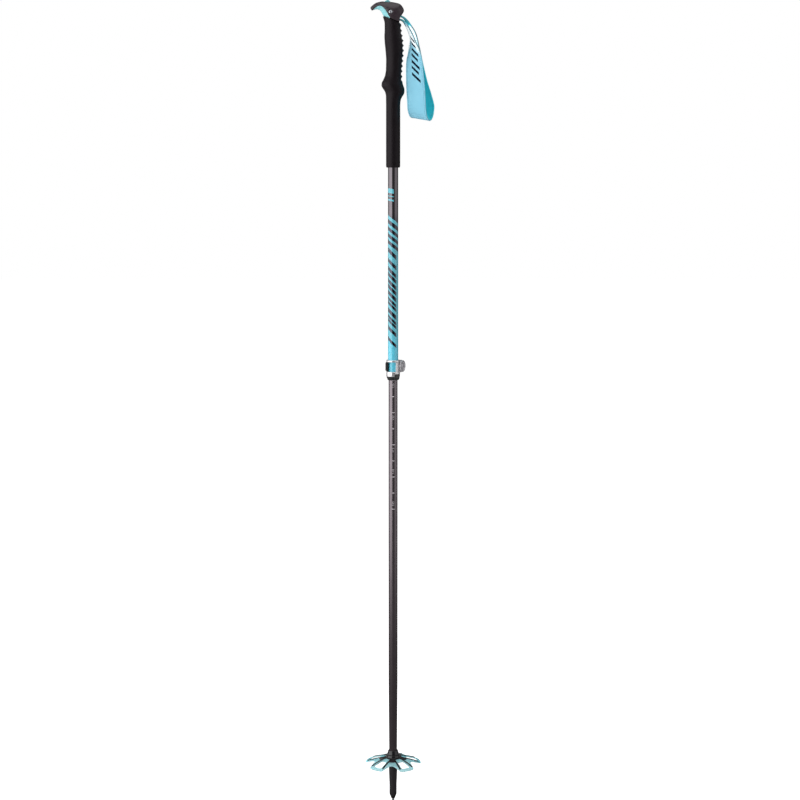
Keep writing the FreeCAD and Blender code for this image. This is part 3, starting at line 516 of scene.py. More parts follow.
def lathe(name, profile, nodes, mat, seg=128, radii=0.25, split=40.0, place=None):
    """Surface of revolution from a closed (r, z) outline in mm; stands for nodes. place is (origin, axis) in mm."""
    prof = fillet(profile, radii)
    # extra rings on long straight runs, so that shading stays even
    dense = []
    for i, p in enumerate(prof):
        q = prof[(i + 1) % len(prof)]
        dense.append(p)
        k = int(math.hypot(q[0] - p[0], q[1] - p[1]) // split)
        for j in range(1, k + 1):
            s = j / (k + 1)
            dense.append((p[0] + (q[0] - p[0]) * s, p[1] + (q[1] - p[1]) * s))
    verts, rings = [], []
    for r, z in dense:
        if r < 1e-6:
            rings.append([len(verts)])
            verts.append((0, 0, z))
        else:
            rings.append(list(range(len(verts), len(verts) + seg)))
            for i in range(seg):
                a = 2 * math.pi * i / seg
                verts.append((r * math.cos(a), r * math.sin(a), z))
    faces = []
    for i in range(len(rings)):
        A, B = rings[i], rings[(i + 1) % len(rings)]
        if len(A) == 1 and len(B) == 1:
            continue
        for k in range(seg):
            k2 = (k + 1) % seg
            if len(A) == 1:
                faces.append((A[0], B[k], B[k2]))
            elif len(B) == 1:
                faces.append((A[k], B[0], A[k2]))
            else:
                faces.append((A[k], A[k2], B[k2], B[k]))
    if place is not None:
        o, ax = np.array(place[0], float), Vector(place[1]).normalized()
        rot = np.array(Vector((0, 0, 1)).rotation_difference(ax).to_matrix())
        verts = np.array(verts, float) @ rot.T + o
    ob = add_mesh(name, verts, faces, [mat])
    fix_normals(ob)
    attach(ob, BODY[nodes[0]])
    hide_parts(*nodes)
    return ob


def mesh_arrays(me):
    co = np.zeros(len(me.vertices) * 3)
    me.vertices.foreach_get("co", co)
    ed = np.zeros(len(me.edges) * 2, np.int64)
    me.edges.foreach_get("vertices", ed)
    return co.reshape(-1, 3), ed.reshape(-1, 2)


def relax(me, passes, lam=0.5, mu=-0.53, keep=None):
    """Volume-keeping smoothing. keep is a weight per vertex, 0 holds it still."""
    co, ed = mesh_arrays(me)
    n = len(co)
    deg = np.bincount(ed.ravel(), minlength=n).astype(float)
    deg[deg == 0] = 1
    for i in range(passes):
        for f in (lam, mu):
            s = np.zeros_like(co)
            for c in range(3):
                s[:, c] = np.bincount(ed[:, 0], co[ed[:, 1], c], n) + np.bincount(ed[:, 1], co[ed[:, 0], c], n)
            d = (s / deg[:, None] - co) * f
            if keep is not None:
                d *= keep[:, None]
            co = co + d
    me.vertices.foreach_set("co", co.ravel())
    me.update()


def plain_smooth(me, passes, f=0.5, keep=None):
    co, ed = mesh_arrays(me)
    n = len(co)
    deg = np.bincount(ed.ravel(), minlength=n).astype(float)
    deg[deg == 0] = 1
    for i in range(passes):
        s = np.zeros_like(co)
        for c in range(3):
            s[:, c] = np.bincount(ed[:, 0], co[ed[:, 1], c], n) + np.bincount(ed[:, 1], co[ed[:, 0], c], n)
        co = co + (s / deg[:, None] - co) * (f if keep is None else f * keep[:, None])
    me.vertices.foreach_set("co", co.ravel())
    me.update()


def push(me, dist_mm):
    """Moves the surface out along its normals."""
    co, _ = mesh_arrays(me)
    no = np.zeros(len(co) * 3)
    me.vertices.foreach_get("normal", no)
    me.vertices.foreach_set("co", (co + no.reshape(-1, 3) * dist_mm * MM).ravel())
    me.update()


def soften(node, name, voxel_mm, plain=3, keepvol=12, mat=None, shape=None, stand=True, heavy=None, out=0.0):
    """A copy of a CAD node's shape, rebuilt as an even mesh with moulded, rounded edges."""
    ob = bpy.data.objects.new(name, NODES[node].data.copy())
    SCENE.collection.objects.link(ob)
    w = ob.modifiers.new("weld", "WELD")
    w.merge_threshold = 2e-6
    r = ob.modifiers.new("remesh", "REMESH")
    r.mode = "VOXEL"
    r.voxel_size = voxel_mm * MM
    r.adaptivity = 0.0
    dg = bpy.context.evaluated_depsgraph_get()
    me = bpy.data.meshes.new_from_object(ob.evaluated_get(dg), depsgraph=dg)
    old = ob.data
    ob.modifiers.clear()
    ob.data = me
    bpy.data.meshes.remove(old)
    me.name = name
    if shape is not None:
        co, _ = mesh_arrays(me)
        co = shape(co / MM) * MM
        me.vertices.foreach_set("co", co.ravel())
    plain_smooth(me, plain)
    relax(me, keepvol)
    if heavy is not None:
        co, _ = mesh_arrays(me)
        plain_smooth(me, heavy[0], 0.5, heavy[1](co / MM))
    if out:
        push(me, out)
    me.materials.clear()
    if mat is not None:
        me.materials.append(mat)
    me.polygons.foreach_set("material_index", np.zeros(len(me.polygons), np.int32))
    me.polygons.foreach_set("use_smooth", np.ones(len(me.polygons), bool))
    me.update()
    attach(ob, BODY[node])
    if stand:
        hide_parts(node)
    return ob


# ------------------------------------------------------------------ foam grip
GRIP = np.array([
    (987.0, -10.3, 10.5, 10.4), (989.5, -11.0, 11.1, 11.0), (1040.0, -11.0, 11.2, 11.0), (1084.0, -11.0, 11.2, 11.0),
    (1092.0, -11.1, 11.9, 11.2), (1097.5, -11.2, 14.2, 11.9), (1102.0, -11.7, 17.0, 12.9), (1106.0, -13.0, 17.9, 13.8),
    (1110.0, -15.6, 17.7, 14.6), (1115.0, -18.1, 16.0, 14.9), (1119.0, -17.8, 14.9, 14.4), (1124.0, -15.4, 14.4, 13.6),
    (1131.0, -12.6, 14.5, 12.9), (1140.0, -11.2, 14.9, 12.6), (1155.0, -10.9, 16.0, 12.6), (1170.0, -11.9, 16.9, 12.9),
    (1182.0, -13.1, 16.5, 13.1), (1192.0, -13.6, 15.2, 13.1), (1202.0, -13.2, 13.6, 12.9), (1212.0, -13.3, 12.5, 12.6),
    (1226.0, -16.4, 11.0, 12.2),
])
SEAM_Z, SEAM_SLOPE = 1216.7, 0.42
PEAKS = [1209.0, 1200.8, 1193.4, 1185.6, 1177.6, 1169.6, 1161.4, 1153.2, 1145.2, 1137.2, 1129.2, 1120.8]
SC_R = 3.9


def grip_at(z):
    """Front face, rear face and half width of the grip at heights z, by monotone cubics through GRIP."""
    zs = GRIP[:, 0]
    z = np.clip(np.asarray(z, float), zs[0], zs[-1])
    k = np.clip(np.searchsorted(zs, z, side="right") - 1, 0, len(zs) - 2)
    h = zs[k + 1] - zs[k]
    t = (z - zs[k]) / h
    out = []
    for c in (1, 2, 3):
        d = np.diff(GRIP[:, c]) / np.diff(zs)
        m = np.zeros(len(zs))
        for i in range(1, len(zs) - 1):
            m[i] = 0.0 if d[i - 1] * d[i] <= 0 else 2 * d[i - 1] * d[i] / (d[i - 1] + d[i])
        y0, y1, m0, m1 = GRIP[k, c], GRIP[k + 1, c], m[k] * h, m[k + 1] * h
        out.append((2 * t ** 3 - 3 * t ** 2 + 1) * y0 + (t ** 3 - 2 * t ** 2 + t) * m0
                   + (-2 * t ** 3 + 3 * t ** 2) * y1 + (t ** 3 - t ** 2) * m1)
    return out


def smin(a, b, k):
    """Smooth minimum; k is the blend's width."""
    h = np.clip(0.5 + 0.5 * (b - a) / k, 0, 1)
    return b * (1 - h) + a * h - k * h * (1 - h)


def build_foam():
    NC = 168
    ang = np.linspace(0, 2 * np.pi, NC, endpoint=False)
    step = 0.45
    zn = list(np.arange(988.6, 1108, 1.5)) + list(np.arange(1108, 1125, 0.9)) + list(np.arange(1125, 1215.8, step)) + [1215.8]
    rows = [(z, 0.0, 0.0) for z in zn]                       # nominal z, inset, lift
    rows += [(1215.8, 1.1 * (1 - math.cos(a)), 0.82 * math.sin(a)) for a in np.radians([15, 30, 45, 60, 75, 90])]
    rows = [(988.6, 1.5 * (1 - math.cos(a)), -1.5 * math.sin(a)) for a in np.radians([90, 75, 60, 45, 30, 15])] + rows
    verts = []
    for z0, inset, lift in rows:
        w = np.clip((z0 - 1182.0) / (SEAM_Z - 1182.0), 0, 1)
        w = w * w * (3 - 2 * w)
        x = np.zeros(NC)
        z = np.full(NC, z0)
        for _ in range(4):
            z = z0 - SEAM_SLOPE * x * w
            f, r, hw = grip_at(z)
            cx, a = (f + r) / 2, (r - f) / 2
            x = cx + (a - inset) * np.cos(ang)
        y = (hw - inset) * np.sin(ang)
        for i in range(len(PEAKS) - 1):
            zc = (PEAKS[i] + PEAKS[i + 1]) / 2
            depth = 1.8 if i in (0, len(PEAKS) - 2) else 2.1
            xr = grip_at(zc)[1]
            dz = np.abs(z - zc)
            lim = np.where(dz < SC_R, xr - depth + SC_R - np.sqrt(np.maximum(SC_R ** 2 - dz ** 2, 0)), 1e3)
            near = dz < SC_R
            x = np.where(near, smin(x, np.minimum(lim, 60.0), 0.45), x)
        verts.append(np.stack([x, y, z + lift], 1))
    # inner walls at both ends
    top_z = verts[-1][:, 2]
    xs = 10.15 * np.cos(ang)
    verts.append(np.stack([xs, 10.15 * np.sin(ang), SEAM_Z - 0.25 - SEAM_SLOPE * xs], 1))
    verts.append(np.stack([xs, 10.15 * np.sin(ang), SEAM_Z - 3.5 - SEAM_SLOPE * xs], 1))
    xs = 8.03 * np.cos(ang)
    lo1 = np.stack([xs, 8.03 * np.sin(ang), np.full(NC, 987.1)], 1)
    lo2 = np.stack([xs, 8.03 * np.sin(ang), np.full(NC, 991.0)], 1)
    verts = [lo2, lo1] + verts
    V = np.concatenate(verts)
    faces = []
    for j in range(len(verts) - 1):
        for i in range(NC):
            i2 = (i + 1) % NC
            faces.append((j * NC + i, j * NC + i2, (j + 1) * NC + i2, (j + 1) * NC + i))
    ob = add_mesh("grip_foam_skin", V, faces, [FOAM])
    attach(ob, "upper")
    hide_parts("grip_foam")
    return ob


build_foam()

# ------------------------------------------------------------------ head, inlay, crest
HEAD_OUT = np.array([
    (-13.9, 1219.0), (-15.0, 1223.0), (-16.4, 1226.2), (-17.9, 1228.9), (-19.4, 1231.4), (-21.4, 1233.3), (-24.6, 1234.2),
    (-27.5, 1234.0), (-30.0, 1233.1), (-31.9, 1232.6), (-33.4, 1232.7), (-34.9, 1234.6), (-35.3, 1236.7), (-33.0, 1238.9),
    (-30.0, 1241.3), (-26.4, 1243.7), (-21.5, 1245.6), (-15.9, 1246.6), (-7.0, 1246.5), (-0.3, 1244.9), (6.4, 1243.6),
    (10.9, 1241.8), (14.0, 1238.8), (16.3, 1235.0), (17.3, 1232.1), (17.0, 1230.6), (15.4, 1228.2), (12.6, 1224.6),
    (10.4, 1220.7),
])


INLAY_EDGE = np.array([
    (-4.2, 1218.5), (-5.0, 1220.9), (-7.5, 1225.4), (-10.0, 1229.8), (-12.9, 1233.8), (-15.6, 1236.7), (-17.6, 1238.2),
    (-19.7, 1238.9), (-22.0, 1239.0), (-24.4, 1238.4), (-28.2, 1236.0), (-31.0, 1233.4),
])
BOLT_X, BOLT_Z = -3.7, 1229.3
MOUTH = (11.0, 1219.0)


def line_distance(pts, x, z):
    d = np.full(len(x), 1e9)
    for (x0, z0), (x1, z1) in zip(pts[:-1], pts[1:]):
        vx, vz = x1 - x0, z1 - z0
        t = np.clip(((x - x0) * vx + (z - z0) * vz) / (vx * vx + vz * vz), 0, 1)
        d = np.minimum(d, np.hypot(x - x0 - t * vx, z - z0 - t * vz))
    return d


def dome_head(co):
    """Narrows the head towards its outline, so that its cheeks are domed, and cuts a fine groove along the foam."""
    x, z = co[:, 0], co[:, 2]
    d = line_distance(HEAD_OUT, x, z)
    low = np.clip((z - 1212.0) / 8.0, 0, 1)              # the seam with the foam keeps its width
    mouth = np.clip(np.hypot(x - 15.0, z - 1222.0) / 9.0 - 0.35, 0, 1)
    f = 1 - 0.36 * (1 - np.clip(d / 11.0, 0, 1)) ** 2 * low * mouth
    out = co.copy()
    out[:, 1] *= f
    s = z - (SEAM_Z - SEAM_SLOPE * x)
    r = np.hypot(out[:, 0], out[:, 1])
    k = np.clip(1 - s / 1.6, 0, 1) * (s > -0.6) * np.clip((r - 10.4) / 1.2, 0, 1)
    g = 1 - 0.95 * k / np.maximum(r, 1.0)
    out[:, 0] *= g
    out[:, 1] *= g
    return out


def head_weight(co):
    x, y, z = co.T
    w = np.clip((np.hypot(x - BOLT_X, z - BOLT_Z) - 4.3) / 2.5, 0, 1)
    w *= np.clip((z - (SEAM_Z - SEAM_SLOPE * x) - 1.6) / 3.0, 0, 1)
    w *= np.clip((x + 32.0) / 9.0, 0.05, 1)
    w *= np.clip((line_distance(INLAY_EDGE, x, z) - 0.5) / 2.5, 0, 1)
    w *= np.clip((np.hypot(x - 13.5, z - 1220.5) - 5.0) / 3.0, 0, 1)
    w *= np.clip((np.abs(x - 4.5) - 30) * -1, 0, 1)
    return w


soften("grip_head", "head_shell", 0.42, 4, 16, HEAD, dome_head, heavy=(110, head_weight), out=0.12)
soften("head_inlay", "inlay_skin", 0.30, 4, 14, RUBBER, dome_head, out=-0.34)
def low_crest(co):
    out = co.copy()
    out[:, 2] = np.where(co[:, 2] > 1244.0, 1244.0 + (co[:, 2] - 1244.0) * 0.86, co[:, 2])
    return out


soften("crest_insert", "crest_skin", 0.25, 3, 10, CREST, low_crest)
for sgn, node, nm in ((-1, "strap_bolt", "bolt_head"), (1, "strap_nut", "nut_head")):
    back = 19.0 if node == "strap_bolt" else 4.6
    lathe(nm, [(0, -2.1), (1.35, -2.1), (1.45, -0.05), (2.0, 0.0), (2.9, -0.6), (2.9, -2.3), (2.5, -2.3), (2.5, -back), (0, -back)],
          [node], BRIGHT_STEEL, 48, [0, 0.15, 0.2, 0.4, 0.4, 0.1, 0, 0, 0], place=((BOLT_X, sgn * 13.0, BOLT_Z), (0, sgn, 0)))

# ------------------------------------------------------------------ hand loop
_L = math.hypot(MOUTH[0] - BOLT_X, MOUTH[1] - BOLT_Z)
UX, UZ = (MOUTH[0] - BOLT_X) / _L, (MOUTH[1] - BOLT_Z) / _L
NX, NZ = -UZ, UX


def in_channel(a, o, hx, hy, hz, y=0.0):
    return (BOLT_X + UX * a + NX * o, y, BOLT_Z + UZ * a + NZ * o, hx, hy, hz)


FRONT = [
    (14.3, -0.4, 1216.6, 0.3, -7.4, 0.0), (20.7, -1.6, 1209.0, 1.2, -8.6, 0.0), (26.0, -3.6, 1198.5, 1.9, -10.6, 0.0),
    (29.4, -5.8, 1188.5, 2.8, -12.8, 0.1), (31.3, -8.0, 1177.5, 5.0, -13.4, 0.2), (32.4, -9.8, 1167.5, 8.8, -12.8, -0.4),
    (32.9, -11.4, 1153.0, 12.2, -10.6, -0.8), (33.9, -12.6, 1130.0, 13.7, -8.8, -1.0),
    (35.2, -13.0, 1108.0, 14.4, -8.2, -1.2), (36.5, -13.0, 1085.0, 14.4, -8.0, -2.0),
]
ARC = []
for i in range(1, 8):
    t = math.pi * i / 8
    ARC.append((43.15 - 6.65 * math.cos(t), -13.0 * math.cos(t), 1085.0 - 21.7 * math.sin(t), 14.5, -7.9, -2.2 - 0.6 * math.sin(t)))
BACK = [
    (49.8, 13.0, 1085.0, 14.6, -7.8, -2.0), (46.2, 13.0, 1100.0, 14.6, -7.9, -1.2), (39.0, 12.4, 1124.0, 14.3, -8.2, -1.0),
    (34.4, 11.2, 1149.0, 12.6, -10.2, -0.8), (33.2, 9.2, 1173.5, 8.6, -12.6, -0.4), (32.7, 7.2, 1186.0, 6.0, -12.6, 0.0),
    (30.4, 5.2, 1198.5, 4.0, -11.2, 0.0), (25.4, 2.8, 1209.4, 2.1, -9.6, 0.0), (21.9, 1.4, 1215.0, 1.3, -8.4, 0.0),
    (17.1, 0.4, 1220.4, 0.4, -7.4, 0.0),
]
ROWS = np.array([in_channel(7.0, -3.5, 0, -7.2, 0), in_channel(12.5, -3.5, 0, -7.2, 0)] + FRONT + ARC + BACK
                + [in_channel(13.0, 3.5, 0, -7.2, 0), in_channel(7.0, 3.5, 0, -7.2, 0)])


def spline(rows, spacing):
    """Catmull-Rom through the rows, sampled evenly by the centre line's length."""
    c = rows[:, :3]
    seg = np.linalg.norm(np.diff(c, axis=0), axis=1)
    T = np.concatenate([[0], np.cumsum(seg)])
    m = np.zeros_like(rows)
    m[1:-1] = (rows[2:] - rows[:-2]) / (T[2:] - T[:-2])[:, None]
    m[0] = (rows[1] - rows[0]) / (T[1] - T[0])
    m[-1] = (rows[-1] - rows[-2]) / (T[-1] - T[-2])
    q = np.linspace(0, T[-1], int(T[-1] / spacing) + 1)
    k = np.clip(np.searchsorted(T, q, side="right") - 1, 0, len(T) - 2)
    h = (T[k + 1] - T[k])[:, None]
    t = ((q - T[k])[:, None]) / h
    out = ((2 * t ** 3 - 3 * t ** 2 + 1) * rows[k] + (t ** 3 - 2 * t ** 2 + t) * h * m[k]
           + (-2 * t ** 3 + 3 * t ** 2) * rows[k + 1] + (t ** 3 - t ** 2) * h * m[k + 1])
    d = np.concatenate([[0], np.cumsum(np.linalg.norm(np.diff(out[:, :3], axis=0), axis=1))])
    return out, d


def strap_frames(spacing):
    rows, d = spline(ROWS, spacing)
    c, h = rows[:, :3], rows[:, 3:]
    tan = np.gradient(c, axis=0)
    tan /= np.linalg.norm(tan, axis=1)[:, None]
    h = h - (h * tan).sum(1)[:, None] * tan              # across the band
    hw = np.linalg.norm(h, axis=1)
    b = h / hw[:, None]
    n = np.cross(tan, b)
    n /= np.linalg.norm(n, axis=1)[:, None]
    return c, b, n, tan, hw, d


def build_strap():
    c, b, n, tan, hw, d = strap_frames(1.3)
    z_front = lambda z: float(np.interp(-z, -c[: len(c) // 2, 2][np.argsort(-c[: len(c) // 2, 2])],
                                        d[: len(c) // 2][np.argsort(-c[: len(c) // 2, 2])]))
    p0 = z_front(1191.0)
    p1 = p0 + 65.3
    outer = mat_webbing("webbing", (0.370, 0.790, 0.985), (0.245, 0.660, 0.870), (0.120, 0.500, 0.560), (p0, p1))
    # the lining gets an even painted glow of 0.18 to brighten its shaded inside
    inner = mat_webbing("webbing_lining", (0.050, 0.700, 0.820), (0.035, 0.540, 0.640), (0.060, 0.440, 0.500), None, 0.18)

    def ramp(v, a, b):
        t = np.clip((v - a) / (b - a), 0, 1)
        return t * t * (3 - 2 * t)
    def painted_light(i, w):
        """How much painted highlight (+) or painted shade (-) the webbing gets at row i, w mm across; the highlight
        stretch ends on a slant in front.
        """
        zc = c[i, 2]
        painted_highlight = ramp(zc + 1.15 * w, 1172.0, 1185.0) if i < len(c) // 2 else ramp(zc + 0.0 * w, 1160.0, 1178.0)
        return painted_highlight * (1 - ramp(zc, 1206.0, 1214.0)) - ramp(zc, 1206.0, 1216.0)
    edge_s = [0.0, 0.12, 0.4, 0.8, 1.3, 1.9, 2.6, 3.4]     # mm in from the edge
    K = 9
    N = len(c)
    half = []
    for s in edge_s:
        half.append(("e", s))
    mids = [("m", k / (K + 1)) for k in range(1, K + 1)]

    def section(i):
        """Across positions (mm) and half thickness (mm) for the band's row i."""
        w = hw[i]
        xs = [-w + s for s in edge_s]
        a, e = -w + edge_s[-1], w - edge_s[-1]
        xs += [a + (e - a) * k / (K + 1) for k in range(1, K + 1)]
        xs += [w - s for s in edge_s[::-1]]
        xs = np.array(xs)
        de = w - np.abs(xs)
        r = 0.98
        th = np.where(de < r, np.sqrt(np.maximum(r * r - (r - de) ** 2, 0)), r)
        # a hem roll at the borders and a slightly thinner middle
        th = th + 0.14 * np.exp(-((de - 1.1) / 0.7) ** 2) * (de > 0.3) - 0.10 * np.exp(-((de - 2.6) / 0.45) ** 2)
        return xs, th

    inside = np.clip((d - 8) / 10, 0, 1) * np.clip((d[-1] - 8 - d) / 10, 0, 1)
    inside = 0.80 + 0.20 * inside                          # thinner in the head
    verts, uvs, edges = [], [], []
    M = len(edge_s) * 2 + K
    for i in range(N):
        xs, th = section(i)
        th = th * inside[i]
        top = c[i] + b[i] * xs[:, None] + n[i] * th[:, None]
        bot = c[i] + b[i] * xs[:, None] - n[i] * th[:, None]
        ring = np.concatenate([top, bot[::-1][1:-1]])
        verts.append(ring)
        u = np.full(len(ring), d[i])
        w = np.concatenate([xs, xs[::-1][1:-1]])
        uvs.append(np.stack([u, w], 1))
        edges.append(np.stack([hw[i] - np.abs(w), painted_light(i, w)], 1))
    R = len(verts[0])
    V, UV = np.concatenate(verts), np.concatenate(uvs)
    faces, fm = [], []
    for i in range(N - 1):
        for k in range(R):
            k2 = (k + 1) % R
            faces.append((i * R + k, i * R + k2, (i + 1) * R + k2, (i + 1) * R + k))
            fm.append(0 if k < M - 1 else 1)
    faces.append(tuple(range(R)))
    fm.append(0)
    faces.append(tuple((N - 1) * R + k for k in range(R))[::-1])
    fm.append(0)
    ob = add_mesh("strap_webbing", V, faces, [outer, inner], face_mat=fm, uv=UV)
    layer = ob.data.uv_layers.new(name="edge")
    idx = np.zeros(len(ob.data.loops), np.int32)
    ob.data.loops.foreach_get("vertex_index", idx)
    layer.data.foreach_set("uv", np.asarray(np.concatenate(edges)[idx] * MM, np.float32).ravel())
    fix_normals(ob)
    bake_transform(ob)
    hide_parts("strap_loop", "strap_tail")

    # stitching: one row along each border on both faces
    sv, sf = [], []
    pitch, length, rad = 3.0, 2.1, 0.26
    total = d[-1]
    q = 20.0
    while q < total - 20.0:
        for side in (-1, 1):
            for face in (-1, 1):
                base = len(sv)
                pts = []
                for s in (-0.5, -0.3, 0.0, 0.3, 0.5):
                    dd = q + s * length
                    i = min(len(d) - 2, max(0, int(np.searchsorted(d, dd) - 1)))
                    t = (dd - d[i]) / (d[i + 1] - d[i])
                    cc = c[i] * (1 - t) + c[i + 1] * t
                    bb = b[i] * (1 - t) + b[i + 1] * t
                    nn = n[i] * (1 - t) + n[i + 1] * t
                    tt = tan[i] * (1 - t) + tan[i + 1] * t
                    w = hw[i] * (1 - t) + hw[i + 1] * t
                    lift = 0.86 + 0.18 * math.cos(math.pi * s) if abs(s) < 0.5 else 0.72
                    pts.append((cc + bb * side * (w - 2.6) + nn * face * lift, bb, nn, rad if abs(s) < 0.5 else rad * 0.55))
                for p, bb, nn, r in pts:
                    for a in range(6):
                        th = 2 * math.pi * a / 6
                        sv.append(p + bb * math.cos(th) * r * 1.25 + nn * math.sin(th) * r)
                for j in range(4):
                    for a in range(6):
                        a2 = (a + 1) % 6
                        sf.append((base + j * 6 + a, base + j * 6 + a2, base + (j + 1) * 6 + a2, base + (j + 1) * 6 + a))
                sf.append(tuple(base + a for a in range(6))[::-1])
                sf.append(tuple(base + 24 + a for a in range(6)))
        q += pitch
    st = add_mesh("strap_stitching", np.array(sv), sf, [THREAD])
    fix_normals(st)
    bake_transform(st)


build_strap()

# ------------------------------------------------------------------ clamp
soften("clamp_band", "clamp_band_forged", 0.26, 3, 12, POLISHED)
soften("clamp_lever", "clamp_lever_moulded", 0.26, 3, 10, BLACK_PLASTIC)
soften("clamp_collar", "clamp_collar_moulded", 0.24, 2, 10, COLLAR_BLACK)
soften("adjuster_knob", "adjuster_wheel", 0.17, 2, 6, SATIN)

# ------------------------------------------------------------------ lower shaft, tip
TAPER_Z, TAPER_SLOPE = 188.0, 0.85 / 106.0


def lower_r(z):
    return 7.0 - max(0.0, TAPER_Z - z) * TAPER_SLOPE


R_END = lower_r(50.0)
lathe("lower_shaft_skin", [(R_END - 0.9, 50.0), (R_END, 50.0), (7.0, 188.0), (7.0, 921.0), (6.1, 921.0), (6.1, 188.0)],
      ["lower_shaft"], SHAFT, 128, [0.1, 0.1, 12.0, 0.2, 0.1, 0.0])
TIP_R = 6.5
lathe("tip_body_skin", [
    (0, 9.6), (5.05, 9.6), (5.6, 12.0), (5.6, 26.0), (TIP_R, 48.0), (TIP_R, 72.6), (9.2, 72.6), (9.2, 73.3), (7.5, 78.9),
    (7.2, 79.2), (lower_r(79.2), 79.2), (R_END, 50.0), (0, 50.0)],
    ["tip_body"], TIP_PLASTIC, 128, [0, 0.3, 1.5, 4.0, 4.0, 0.1, 0.3, 0.3, 0.5, 0.2, 0.05, 0, 0])
lathe("tip_ferrule_skin", [(0, 4.0), (2.5, 4.0), (4.9, 9.55), (3.4, 9.55), (3.4, 26.8), (0, 27.0)],
      ["tip_ferrule"], DARK_STEEL, 96, [0, 0.3, 0.2, 0, 0, 0])
lathe("carbide_point_skin", [(0, 0.0), (1.35, 0.0), (1.9, 1.4), (1.9, 6.0), (0, 6.0)],
      ["carbide_point"], CARBIDE, 64, [0, 0.2, 0.3, 0, 0])

# ------------------------------------------------------------------ basket
soften("basket_web", "basket_web_moulded", 0.34, 5, 16, CLEAR)


def sink_ribs(co):
    """The ribs lie partly in the web, beyond the hub."""
    out = co.copy()
    out[:, 2] -= 0.28 * np.clip((np.hypot(co[:, 0], co[:, 1]) - 15.0) / 6.0, 0, 1)
    return out


soften("basket_frame", "basket_frame_moulded", 0.27, 4, 14, GLOSS_BLACK, sink_ribs)


# ------------------------------------------------------------------ printed length scale
def build_scale():
    R = 7.0 + 0.022
    verts, faces = [], []

    def patch(a0, a1, z0, z1, n=10):
        base = len(verts)
        for j in (z0, z1):
            for i in range(n + 1):
                a = math.radians(a0 + (a1 - a0) * i / n)
                verts.append((R * math.sin(a), -R * math.cos(a), j))
        for i in range(n):
            faces.append((base + i, base + i + 1, base + n + 2 + i, base + n + 1 + i))

    def number(text, zc, size):
        cu = bpy.data.curves.new("n" + text, "FONT")
        cu.body = text
        cu.size = size
        cu.align_x = "CENTER"
        cu.align_y = "CENTER"
        cu.space_character = 1.12
        o = bpy.data.objects.new("n" + text, cu)
        SCENE.collection.objects.link(o)
        dg = bpy.context.evaluated_depsgraph_get()
        me = bpy.data.meshes.new_from_object(o.evaluated_get(dg), depsgraph=dg)
        bpy.data.objects.remove(o)
        bm = bmesh.new()
        bm.from_mesh(me)
        ys = [v.co.y for v in bm.verts]
        y = min(ys) + 0.3
        while y < max(ys):
            bmesh.ops.bisect_plane(bm, geom=bm.verts[:] + bm.edges[:] + bm.faces[:], plane_co=(0, y, 0), plane_no=(0, 1, 0))
            y += 0.3
        base = len(verts)
        bm.verts.index_update()
        for v in bm.verts:
            s = -v.co.y                                   # letters read up along the shaft
            a = math.radians(2.5) + s / R
            verts.append((R * math.sin(a), -R * math.cos(a), zc + v.co.x))
        for f in bm.faces:
            faces.append(tuple(base + v.index for v in f.verts))
        bm.free()
        bpy.data.meshes.remove(me)

    for k in range(0, 17):
        length = 105.0 + 2.5 * k
        z = 655.8 - (125.0 - length) * 10.0
        whole = abs(length / 5 - round(length / 5)) < 0.01
        patch(-17.0 if whole else -13.0, 23.0 if whole else 16.0, z - 0.65, z + 0.65)
        if whole:
            number("%d" % length, z - 8.2 if length > 112 else z + 8.2, 4.6)
    ob = add_mesh("length_scale", np.array(verts), faces, [INK])
    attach(ob, "lower")
    return ob


build_scale()

# ------------------------------------------------------------------ finishes on the CAD nodes that stay
FINISH = {
    "upper_tube": (TUBE, "upper_paint"), "tube_plug": (INNER_PLASTIC, "inner_plastic"),
    "strap_wedge": (INNER_PLASTIC, "inner_plastic"),
    "cam_washer": (STEEL, "steel"), "knob_washer": (STEEL, "steel"), "pivot_barrel": (STEEL, "steel"),
    "clamp_screw": (STEEL, "steel"), "shaft_plug": (INNER_PLASTIC, "inner_plastic"), "glide_ring": (INNER_PLASTIC, "inner_plastic"),
}
for name, ob in NODES.items():
    if ob.hide_render:
        continue
    mat = FINISH.get(name, (INNER_PLASTIC, None))[0]
    ob.data.materials.clear()
    ob.data.materials.append(mat)
    for s in ob.material_slots:
        s.link = "OBJECT"
        s.material = mat

# ------------------------------------------------------------------ stage, light, camera
def flat(name, size, mat, z):
    me = bpy.data.meshes.new(name)
    h = size / 2
    me.from_pydata([(-h, -h, z), (h, -h, z), (h, h, z), (-h, h, z)], [], [(0, 1, 2, 3)])
    me.materials.append(mat)
    ob = bpy.data.objects.new(name, me)
    SCENE.collection.objects.link(ob)
    return ob


FL = Mat("floor_pale", Roughness=0.9, Specular_IOR_Level=0.1)
fv = FL.mm()
glossy = FL.node("ShaderNodeLightPath").outputs["Is Glossy Ray"]
pale_floor = FL.mix(FL.noise(fv, 0.004, 3.0), (0.84, 0.84, 0.845), (0.87, 0.87, 0.87))
FL.put("Base_Color", FL.mix(FL.f("MULTIPLY", glossy, 0.6), pale_floor, (0.10, 0.10, 0.10)))
lp = FL.node("ShaderNodeLightPath")
seen = FL.f("MAXIMUM", lp.outputs["Is Camera Ray"], lp.outputs["Is Transmission Ray"])
FL.put("Emission_Color", (1.0, 1.0, 1.0))
FL.put("Emission_Strength", FL.f("MULTIPLY", seen, 0.93))
floor = flat("floor", 30.0, FL.m, -0.0004)
# the floor stays under the tip when the lower shaft slides
fdrv = floor.driver_add("location", 2).driver
fdrv.type = "SCRIPTED"
fvar = fdrv.variables.new()
fvar.name = "d"
fvar.type = "TRANSFORMS"
fvar.targets[0].id = frame["bodies"]["lower"]
fvar.targets[0].transform_type = "LOC_Z"
fvar.targets[0].transform_space = "WORLD_SPACE"
fdrv.expression = "d + 0.0"

